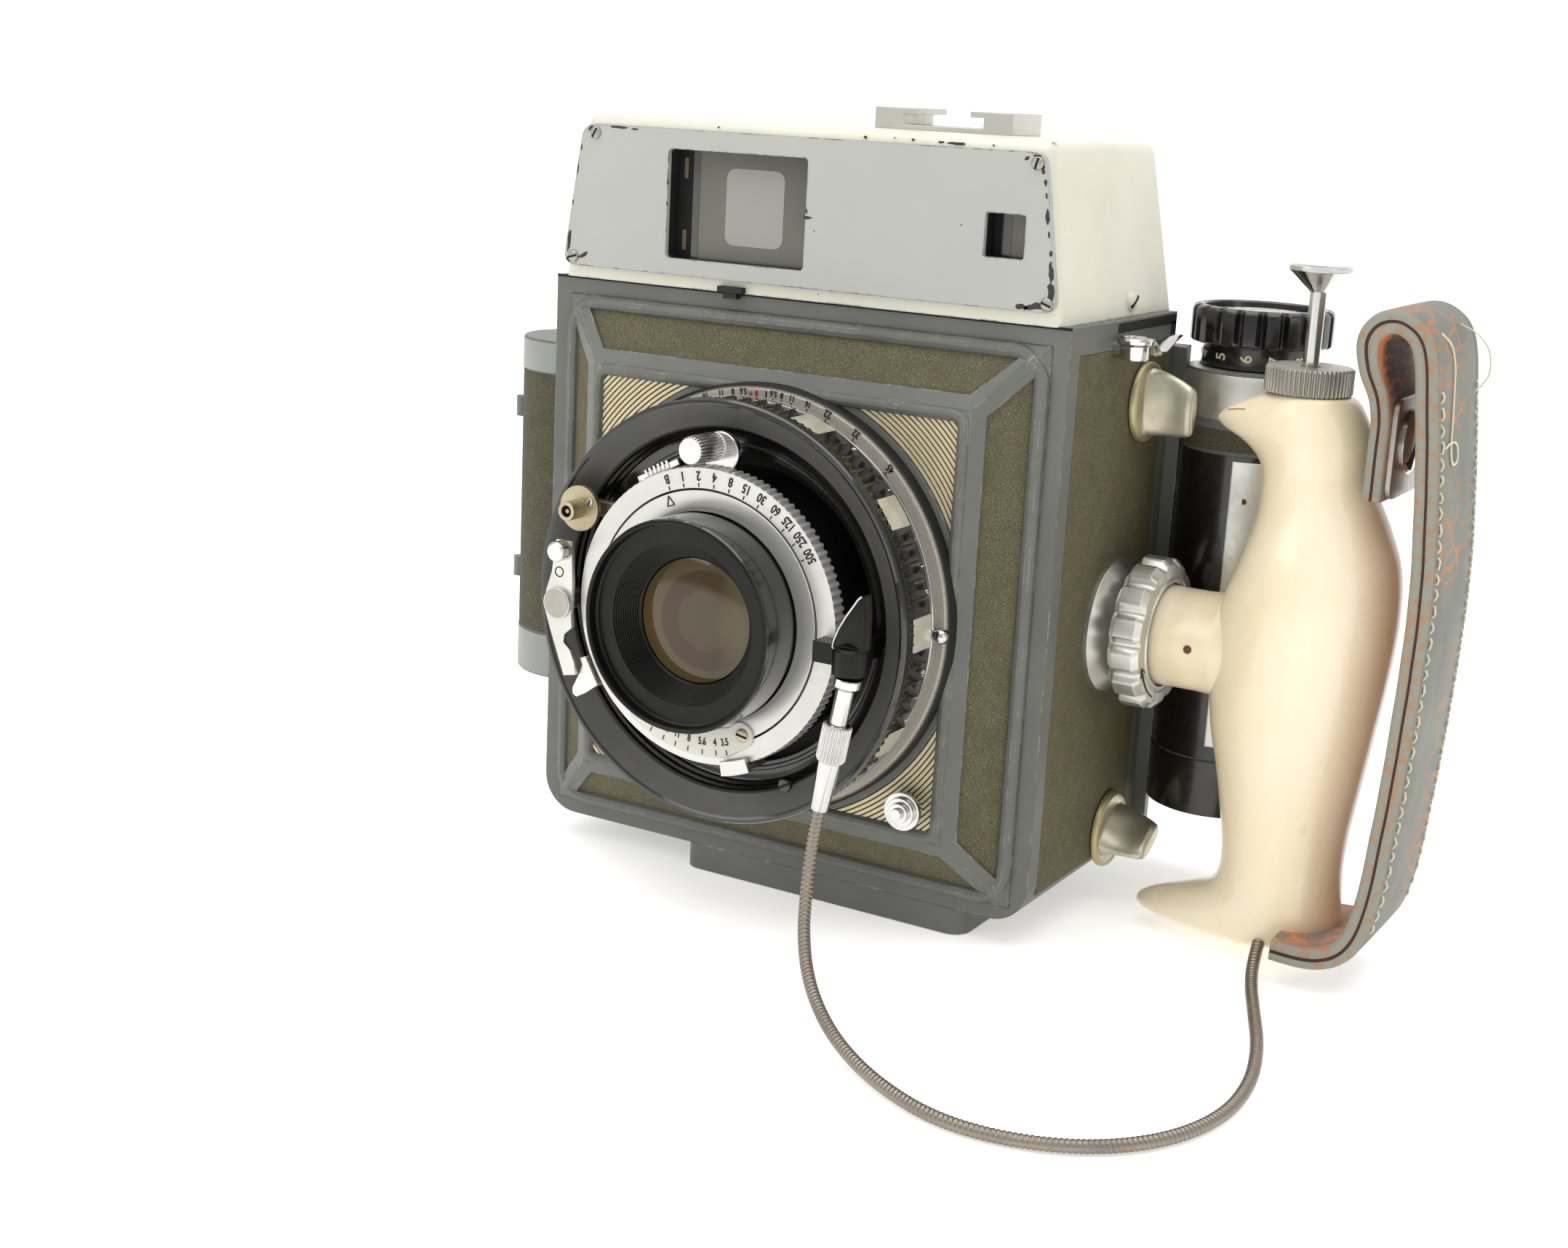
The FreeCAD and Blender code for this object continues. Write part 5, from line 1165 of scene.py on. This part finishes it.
def make_lugs():
    for side, sign in (("left", -1), ("right", 1)):
        stud = lathe([(0.001, 117.9), (2.7, 117.9), (2.95, 118.3), (2.95, 120.6), (3.5, 121.1),
                      (3.6, 121.7), (3.3, 122.2), (2.4, 122.35), (2.1, 121.9), (0.001, 121.9)],
                     about_z(sign * 63.6, -5.0), 40)
        post = tube([(sign * 59.4, -5, 119.7), (sign * 62, -5, 119.7)], 1.8, 16)
        rings = []
        line = ((-3.4, 121.9, 2.3, 0.5), (-1.0, 121.6, 2.3, 0.5), (1.2, 120.6, 2.1, 0.5),
                (2.9, 119.2, 1.9, 0.55), (4.6, 118.5, 1.9, 0.6), (7.0, 118.9, 1.9, 0.6),
                (10.0, 119.8, 1.8, 0.6), (13.0, 120.6, 1.6, 0.55), (16.0, 121.0, 1.2, 0.5),
                (18.4, 121.0, 0.6, 0.4))
        for y, z, half, thick in line:
            ring = []
            for k in range(12):
                t = 2 * math.pi * k / 12
                ring.append((sign * 63.9 + half * math.cos(t), y, z + thick * math.sin(t)))
            rings.append(ring)
        tongue = grid(rings, caps=(True, True))
        piece(f"strap_stud_{side}", "root", "chrome", merged(stud, post, tongue),
              ("strap_lugs",), weld=False)


LOCK_DEPTH = 12


def about_lock(sign, z):
    """About a lock lever's axis, with distances out from the middle of the body."""
    place = about_x(LOCK_DEPTH, z)
    return lambda r, a, h: place(r, a, sign * h)


def make_lock_levers():
    # distance out, reach up, reach down and half width of each section of the wing
    rows = ((60.8, 7.0, 7.0, 3.5), (62.0, 6.9, 6.9, 3.0), (63.6, 6.5, 6.6, 2.2),
            (65.6, 5.9, 6.5, 1.75), (67.8, 5.0, 6.4, 1.7), (69.4, 4.2, 6.3, 1.9),
            (70.3, 3.6, 6.0, 1.8), (70.7, 2.8, 5.3, 1.2), (70.75, 1.5, 4.0, 0.5))
    for level, z, turn in (("low", 16.0, -60.0), ("high", 107.7, 0.0)):
        spin = math.radians(turn)
        for side, sign in (("left", -1), ("right", 1)):
            name = f"lock_lever_{side}_{level}"
            centre = about_lock(sign, z)
            base = lathe([(0.001, 59.9), (8.2, 59.9), (8.2, 60.7), (7.9, 61.2), (7.3, 61.3),
                          (7.1, 61.0), (6.9, 61.0), (0.001, 61.0)], centre, 64)
            rings = []
            for x, up, down, half in rows:
                ring = []
                for k in range(32):
                    t = 2 * math.pi * k / 32
                    s, c = math.sin(t), math.cos(t)
                    v = (up if s > 0 else down) * math.copysign(abs(s) ** 0.75, s)
                    u = half * math.copysign(abs(c) ** 0.8, c) * (1 - 0.15 * abs(s))
                    ring.append((sign * x, LOCK_DEPTH + u * math.cos(spin) - v * math.sin(spin),
                                 z + u * math.sin(spin) + v * math.cos(spin)))
                rings.append(ring)
            wing = grid(rings, caps=(True, True))
            piece(name + "_wing", name, ("lever", "lever_rim"), merged(base, wing),
                  (name,), weld=False, sharp=50,
                  parts=lambda p, z=z: 1 if math.hypot(p.y - LOCK_DEPTH, p.z - z) > 7.35
                  and abs(p.x) < 61.4 else 0)
            if level == "low":
                arc = [centre(5.4, a, 61.08) for a in range(196, 262, 6)]
                head = [centre(4.4, 200, 61.08), centre(5.4, 192, 61.08),
                        centre(6.3, 203, 61.08)]
                piece(name + "_arrow", name, "ink", merged(
                    tube(arc, 0.14, 6), tube(head, 0.14, 6)), weld=False)


# ---- grip, its fittings and strap


def smooth_rows(rows, count):
    """Catmull-Rom rows through the given rows, evenly spaced along their order."""
    rows = [np.array(r, float) for r in rows]
    out = []
    spans = len(rows) - 1
    for k in range(count + 1):
        t = k / count * spans
        i = min(int(t), spans - 1)
        t -= i
        a, b = rows[max(i - 1, 0)], rows[i]
        c, d = rows[i + 1], rows[min(i + 2, spans)]
        out.append(0.5 * (2 * b + (c - a) * t + (2 * a - 5 * b + 4 * c - d) * t * t
                          + (3 * b - a - 3 * c + d) * t ** 3))
    return out


def make_grip():
    # height, tip on the left, core on the left, right side, half depth
    rows = ((3.0, 80.0, 86.5, 98.0, 2.5), (3.3, 76.0, 85.0, 104.0, 5.5),
            (4.1, 72.6, 84.2, 108.4, 8.2), (5.3, 71.2, 84.2, 111.2, 9.8),
            (6.7, 71.4, 84.8, 112.6, 10.5), (8.2, 73.2, 85.8, 113.4, 10.9),
            (9.8, 76.8, 86.8, 113.6, 11.0), (11.4, 81.2, 87.4, 113.6, 11.1),
            (13.6, 86.4, 88.0, 113.4, 11.1),
            (17.0, 88.4, 88.6, 113.1, 11.1), (22.0, 88.6, 88.6, 112.9, 11.2),
            (29.0, 87.6, 87.6, 113.4, 11.8), (38.0, 85.9, 85.9, 114.6, 13.0),
            (48.0, 83.7, 83.7, 115.9, 14.6), (60.0, 82.8, 82.8, 117.4, 15.8),
            (72.0, 83.7, 83.7, 118.2, 15.8), (82.0, 86.6, 86.6, 117.4, 14.4),
            (90.0, 88.7, 88.7, 114.4, 12.0), (97.0, 89.0, 89.0, 110.9, 10.4),
            (101.0, 87.8, 88.8, 110.4, 10.0), (104.0, 84.2, 88.2, 110.2, 9.9),
            (106.0, 80.2, 87.8, 109.6, 9.8), (107.6, 78.6, 87.6, 109.0, 9.6),
            (109.2, 79.6, 87.4, 108.3, 9.3), (111.0, 82.6, 87.6, 107.4, 8.9),
            (112.8, 86.0, 88.4, 106.2, 8.4), (113.9, 88.8, 89.6, 104.8, 7.8),
            (114.3, 91.0, 91.2, 103.0, 6.6))
    slices = []
    for z, tip, core, right, half in smooth_rows(rows, 130):
        middle = (core + right) / 2
        reach = (right - core) / 2
        ring = []
        for k in range(56):
            t = 2 * math.pi * k / 56
            c, s = math.cos(t), math.sin(t)
            x = middle + reach * c
            if c < 0:
                x -= max(core - tip, 0) * abs(c) ** 2.6
            ring.append((x, GRIP_MIDDLE + half * s, z))
        slices.append(ring)
    body = grid(slices, caps=(True, True))
    about_neck, sides = about_x(GRIP_MIDDLE, NECK_HEIGHT), 64
    outline = [(9.6, 71.4), (10.2, 72.2), (10.15, 80.0), (10.4, 84.0), (11.2, 88.0), (9.0, 90.0)]
    neck = lathe(outline, about_neck, sides)
    last = (len(outline) - 1) * sides
    neck = (neck[0], neck[1] + [tuple(range(sides)), tuple(range(last, last + sides))])
    piece("grip_body", "root", "ivory", merged(body, neck), ("hand_grip",),
          sharp=70, weld=False)
    hole = lathe([(0.001, 0.0), (0.85, 0.0), (0.85, 0.12), (0.001, 0.12)],
                 about_y(80.4, 62.6, -6.0, -1), 20)
    piece("neck_hole", "root", "brown", hole)
    piece("horn_scratch", "root", "scratch", tube(
        [(82.6, -2.4, 110.15), (84.4, -2.6, 110.5), (86.2, -3.1, 110.7)], 0.14, 6),
        weld=False)


def make_grip_ring():
    about_neck, scallops = about_x(GRIP_MIDDLE, NECK_HEIGHT), 14

    def radius_at(index, r, angle):
        wave = math.cos(math.radians(angle * scallops))
        depth = 1.3 if index in (2, 3) else 0.7 if index in (1, 4) else 0
        return r - depth * max(0.0, wave) ** 1.3

    profile = [(7.9, 65.2), (14.0, 65.2), (15.6, 66.4), (15.6, 70.8), (14.4, 72.0),
               (12.0, 72.25), (11.8, 72.0), (11.5, 72.0), (11.3, 72.4), (10.7, 72.4),
               (10.6, 71.0), (7.9, 71.0)]
    ring = turned_by(profile, about_neck, radius_at, [k * 1.25 for k in range(288)], True)
    piece("grip_lock_ring_scallops", "grip_lock_ring", "silver", ring,
          ("grip_lock_ring",), sharp=30, weld=False)
    arrow = [about_neck(13.1, a, 72.2) for a in range(206, 250, 4)]
    head = [about_neck(12.2, 208, 72.25), about_neck(13.1, 201, 72.2),
            about_neck(13.9, 209, 72.15)]
    piece("grip_ring_arrow", "grip_lock_ring", "ink", merged(
        tube(arrow, 0.16, 6), tube(head, 0.16, 6)), weld=False)


def make_strap_fittings():
    collar = knurled([(2.0, 114.3), (8.1, 114.3), (8.4, 114.6), (8.4, 119.0), (8.0, 119.4),
                      (2.0, 119.4)], about_z(95.8, GRIP_MIDDLE), 54, 0.42, (2, 3), True)
    piece("grip_collar_knurl", "root", "steel", collar, ("grip_collar",),
          sharp=25, weld=False)
    plate = prism(rounded(-5.8, 14.2, 97.2, 116.0, 3.2), 115.1, 116.2, 0.25,
                  lambda u, v, h: (h, u, v))
    piece("strap_plate", "root", "steel", plate, ("strap_plates",), sharp=30)
    screw("strap_screw_head", "root", about_x(3.2, 107.6), 6.2, 116.0, 117.8, 58, "chrome")
    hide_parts("strap_screws")


STRAP_ROUTE = (
    (113.2, 97.0), (113.2, 102.0), (113.2, 107.0), (113.2, 112.0), (112.6, 116.6),
    (110.9, 121.6), (110.6, 127.0), (113.0, 130.2), (117.2, 130.2), (121.0, 125.8),
    (123.0, 112.0), (124.4, 98.0), (125.4, 84.0), (125.4, 68.0), (124.8, 52.0),
    (123.8, 36.0), (122.4, 21.0), (119.6, 11.6), (114.0, 7.6), (105.0, 7.4))


def strap_line():
    """Even points along the middle of the strap, with the direction of its outer face."""
    fine = smooth_rows([(x, z) for x, z in STRAP_ROUTE], 600)
    run = [0.0]
    for a, b in zip(fine, fine[1:]):
        run.append(run[-1] + math.dist(a, b))
    wanted = np.linspace(0, run[-1], 260)
    xs = np.interp(wanted, run, [p[0] for p in fine])
    zs = np.interp(wanted, run, [p[1] for p in fine])
    line = []
    for i in range(len(xs)):
        a, b = max(i - 2, 0), min(i + 2, len(xs) - 1)
        along = Vector((xs[b] - xs[a], 0, zs[b] - zs[a])).normalized()
        line.append((Vector((xs[i], 0, zs[i])), Vector((-along.z, 0, along.x)), wanted[i]))
    return line


def make_strap():
    line = strap_line()
    # across the band: (distance towards the outer face, place along Y, material)
    section = [(2.1, -11.5, 0), (2.25, -10.4, 0), (2.02, -9.6, 0), (2.25, -8.8, 0),
               (2.3, -2.0, 0), (2.3, 8.0, 0), (2.25, 14.8, 0), (2.02, 15.6, 0), (2.25, 16.4, 0),
               (2.1, 17.5, 1), (1.7, 17.9, 1), (0.45, 18.0, 1), (0.15, 17.7, 2),
               (-0.15, 17.7, 2), (-0.45, 18.0, 1), (-1.7, 17.9, 1), (-2.1, 17.5, 3),
               (-2.2, 10.0, 3), (-2.2, 0.0, 3), (-2.1, -11.5, 1), (-1.7, -11.9, 1),
               (-0.45, -12.0, 1), (-0.15, -11.7, 2), (0.15, -11.7, 2), (0.45, -12.0, 1),
               (1.7, -11.9, 1)]
    rings = []
    for centre, normal, s in line:
        wobble = 0.12 * math.sin(s * 0.21) + 0.08 * math.sin(s * 0.53 + 1)
        # the end under the plate is narrower and thinner
        full = min(1.0, max(0.0, (s - 14) / 20))
        full = full * full * (3 - 2 * full)
        narrow, thin = 0.7 + 0.3 * full, 0.85 + 0.15 * full
        rings.append([centre + normal * (n * thin) + Vector(
            (0, 4.0 + (y - 4.0) * narrow + (wobble if abs(y) > 11 else 0), 0))
            for n, y, _ in section])
    verts, faces = grid(rings, caps=(True, True))
    width = len(section)
    tags = [section[i % width][2] for i in range(len(faces) - 2)] + [1, 1]
    strap = piece("strap_leather", "root", ("strap_grey", "strap_edge", "strap_groove", "suede"),
                  (verts, faces), ("hand_strap",), sharp=60, weld=False)
    for face, tag in zip(strap.data.polygons, tags):
        face.material_index = tag
    total = line[-1][2]

    def at(s):
        return line[min(len(line) - 1, max(0, round(s / total * (len(line) - 1))))]

    stitches = []
    s = 52.0
    rng = random.Random(8)
    while s < total - 22:
        for y in (-9.6, 15.6):
            points = []
            for f, lift in ((0.0, 1.7), (0.15, 2.3), (0.5, 2.5), (0.85, 2.3), (1.0, 1.7)):
                centre, normal, _ = at(s + 2.3 * f)
                shift = 0.25 * math.sin(math.pi * f) * (1 if y < 0 else -1)
                points.append(centre + normal * lift
                              + Vector((0, y + shift + rng.uniform(-0.06, 0.06), 0)))
            stitches.append(tube(points, 0.27, 6))
        s += 3.0
    piece("strap_stitches", "root", "thread", merged(*stitches), weld=False)

    def tail(name, spots, radius=0.2):
        points = []
        for s, y, lift in spots:
            centre, normal, _ = at(s)
            points.append(list(centre + normal * (lift + 0.4) + Vector((0, y, 0))))
        fine = smooth_rows(points, 10 * len(points))
        piece(name, "root", "thread", tube([tuple(p) for p in fine], radius, 6),
              weld=False)
    tail("strap_thread_top", ((42, 9.0, 2.0), (44, 12.0, 3.4), (47, 14.0, 4.6), (51, 15.5, 4.2),
                              (54, 15.0, 2.4)), 0.14)
    tail("strap_thread_front", ((43, -6.0, 2.0), (45, -2.5, 2.1), (48, -1.6, 2.1),
                                (53, -2.4, 2.1), (58, -3.4, 2.15), (63, -4.4, 2.1),
                                (66, -3.0, 2.2), (65.5, -0.4, 2.3), (62.8, -0.6, 2.2),
                                (61.8, -4.0, 2.1), (62.4, -8.0, 2.05)), 0.24)
    tail("strap_thread_low", ((164, 8.0, 2.0), (167, 11.0, 2.6), (171, 12.0, 3.0),
                              (175, 14.5, 2.8), (174, 16.5, 2.6)), 0.17)


# ---- film holder, winding knob and back


def shell_part(place, inner, outer, a0, a1, z0, z1, steps=40):
    """Part of a round shell between two angles."""
    rings = []
    for k in range(steps + 1):
        a = a0 + (a1 - a0) * k / steps
        rings.append([place(inner, a, z0), place(outer, a, z0), place(outer, a, z1),
                      place(inner, a, z1)])
    return grid(rings, caps=(True, True))


def make_holder():
    supply, takeup = about_z(*SUPPLY_AT), about_z(*TAKEUP_AT)
    piece("supply_leather", "back_unit", "leather_dark", shell_part(
        supply, 15.8, 16.15, -176, -6, 31.7, 95.9), sharp=30, weld=False)
    bands = [shell_part(supply, 15.8, 16.3, -176, -6, 96.3, 103.6),
             shell_part(supply, 15.8, 16.3, -176, -6, 20.8, 31.2)]
    piece("supply_bands", "back_unit", "lamp_grey", merged(*bands), sharp=30,
          weld=False)
    piece("takeup_panel", "back_unit", "black_plastic", merged(
        shell_part(takeup, 14.2, 14.6, -176, -6, 33.0, 97.6),
        shell_part(takeup, 14.2, 14.8, -176, -6, 20.7, 32.6)), sharp=30,
        weld=False)
    piece("takeup_strip", "back_unit", "cap_silver", shell_part(
        takeup, 14.5, 14.85, -84, -52, 36.0, 96.6), sharp=30, weld=False)
    piece("takeup_strip_hole", "back_unit", "brown", lathe(
        [(0.001, 0), (0.6, 0), (0.6, 0.2), (0.001, 0.2)],
        about_y(80.2, 88.6, 19.85, -1), 16))
    piece("takeup_leather", "back_unit", "leather_dark", shell_part(
        takeup, 14.2, 14.7, -176, -60, 98.4, 102.6), sharp=30, weld=False)
    cap = lathe([(14.3, 104.4), (14.6, 104.6), (14.7, 105.0), (14.7, 113.2), (14.2, 114.2),
                 (13.2, 114.6), (12.1, 114.6), (12.1, 114.2)], takeup, 96, closed=True)
    piece("winding_cap_shell", "back_unit", "cap_silver", cap)


def make_winding_knob():
    takeup, flutes = about_z(*TAKEUP_AT), 20

    def radius_at(index, r, angle):
        off = abs((angle * flutes / 360 + 0.5) % 1 - 0.5)
        deep = max(0.0, 1 - (off / 0.2) ** 2)
        return r - (1.3 * deep if index in (1, 2, 3, 4) else 0.9 * deep if index == 5 else 0)

    profile = [(11.8, 119.5), (13.9, 119.5), (14.5, 120.0), (14.5, 126.0), (14.2, 126.7),
               (13.5, 127.1), (12.4, 127.15), (12.0, 126.8), (11.9, 125.6), (0.001, 125.6)]
    knob = turned_by(profile, takeup, radius_at, [k * 1.0 for k in range(360)])
    skirt = lathe([(0.001, 114.7), (11.7, 114.7), (11.9, 115.0), (11.6, 119.6), (0.001, 119.6)],
                  takeup, 80)
    piece("winding_knob_flutes", "winding_knob", "black_plastic", merged(knob, skirt),
          ("winding_knob",), sharp=40, weld=False)
    digits, ticks = [], []
    for k, text in enumerate("1 2 3 4 5 6 7 8 1 2 3 4".split()):
        angle = -111.75 + 28 * (k - 4)

        def to(u, v, h, angle=angle):
            return takeup(11.86 + h, angle - math.degrees(v / 11.8), 117.2 + u)
        digits.append(written(text, 3.4, to, 0.05))
    piece("winding_numbers", "winding_knob", "ink_cream", merged(*digits),
          weld=False)
    dial = lathe([(0.001, 126.1), (7.4, 126.1), (7.9, 125.9), (11.4, 125.8), (11.4, 125.6),
                  (0.001, 125.6)], takeup, 72)
    piece("winding_dial", "winding_knob", "silver", dial)
    for k in range(24):
        turn = math.radians(15 * k)

        def to(u, v, h, turn=turn):
            x, y = 9.6 + v, u
            return (TAKEUP_AT[0] + x * math.cos(turn) - y * math.sin(turn),
                    TAKEUP_AT[1] + x * math.sin(turn) + y * math.cos(turn), 125.9 + h)
        ticks.append(bar(to, -0.16, 0.16, -0.9 if k % 2 else -1.4, 0.9))
    piece("winding_dial_ticks", "winding_knob", "ink", merged(*ticks),
          weld=False)


def make_film_door():
    supply, takeup = about_z(*SUPPLY_AT), about_z(*TAKEUP_AT)
    foot = lathe([(0.001, 17.4), (3.6, 17.4), (3.9, 17.9), (3.9, 20.6), (0.001, 20.6)],
                 about_z(74.0, 36.0), 32)
    piece("holder_foot", "film_door", "black_plastic", foot)
    back = prism(rounded(-74.0, 58.0, 27.0, 98.0, 3.0), 48.2, 48.75, 0.12, on_back)
    piece("door_leather", "film_door", "leather", back, sharp=30)
    wraps = [shell_part(supply, 15.8, 16.2, 8, 76, 26.0, 98.6),
             shell_part(takeup, 14.2, 14.6, 104, 172, 26.0, 98.6)]
    piece("door_wrap_leather", "film_door", "leather_dark", merged(*wraps),
          sharp=30, weld=False)
    catch = prism(rounded(79.0, 87.0, 52.0, 72.0, 2.0), 46.0, 49.0, 0.4, on_back)
    piece("door_latch", "film_door", "silver", catch, sharp=30)
    window = lathe([(0.001, 48.5), (5.2, 48.5), (5.4, 49.0), (4.6, 49.3), (4.4, 48.9),
                    (0.001, 48.9)], about_y(30, 62), 40)
    piece("film_type_dial", "film_door", "steel", window)


def make_bellows():
    def fold(y, inset):
        return [(x, y, z) for x, z in rounded(-45.6 + inset, 45.6 - inset, 31.4 + inset,
                                              98.6 - inset, 1.5, 3)]

    folds = [15.6, 17.0, 18.4, 19.8, 21.2, 22.6, 24.0, 25.4, 27.1]
    outside = [fold(y, 2.2 if k % 2 else 0.2) for k, y in enumerate(folds)]
    inside = [fold(y, 3.0 if k % 2 else 1.0) for k, y in enumerate(folds)]
    rings = outside + inside[::-1]
    folded = piece("bellows_folds", None, "bellows", grid(rings, closed=True),
                   ("bellows",), sharp=20, weld=False)
    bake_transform(folded)


make_finder()
make_finder_chips()
make_finder_trim()
make_lugs()
make_lock_levers()
make_grip()
make_grip_ring()
make_strap_fittings()
make_strap()
make_holder()
make_winding_knob()
make_film_door()
make_bellows()

# ---- floor, world and lights

FLOOR_DROP, FLOOR_GLOW, WORLD_STRENGTH = 0.0002, 0.42, 0.6


def make_studio():
    floor = bpy.data.meshes.new("floor")
    corners = [(-9, -3, 0), (9, -3, 0), (9, 6, 0), (-9, 6, 0), (-9, 6, 9), (9, 6, 9)]
    floor.from_pydata(corners, [], [(0, 1, 2, 3), (3, 2, 5, 4)])
    white = Finish("floor_white", "f7f6f4", 0.8, Specular_IOR_Level=0.1,
                   Emission_Color=(1.0, 1.0, 0.99, 1.0), Emission_Strength=FLOOR_GLOW)
    floor.materials.append(white.mat)
    ground = bpy.data.objects.new("floor", floor)
    ground.location.z = -FLOOR_DROP
    scene.collection.objects.link(ground)
    world = bpy.data.worlds.new("studio")
    scene.world = world
    world.use_nodes = True
    back = world.node_tree.nodes["Background"]
    back.inputs["Color"].default_value = (1.0, 1.0, 1.0, 1.0)
    back.inputs["Strength"].default_value = WORLD_STRENGTH
    for name, place, aim, size, power in (
            ("overhead", (0.0, -0.1, 1.3), (0, 0, 0), (1.5, 1.5), 15),
            ("front_left", (-0.9, -1.1, 0.9), (0, 0, 0.08), (0.9, 0.9), 6),
            ("right", (1.3, -0.5, 0.6), (0.05, 0, 0.07), (0.7, 0.9), 2.5)):
        data = bpy.data.lights.new(name, "AREA")
        data.shape = "RECTANGLE"
        data.size, data.size_y = size
        data.energy = power
        lamp = bpy.data.objects.new(name, data)
        lamp.location = place
        lamp.rotation_euler = (Vector(aim) - Vector(place)).to_track_quat("-Z", "Y").to_euler()
        scene.collection.objects.link(lamp)
    scene.view_settings.view_transform = "Standard"


make_studio()
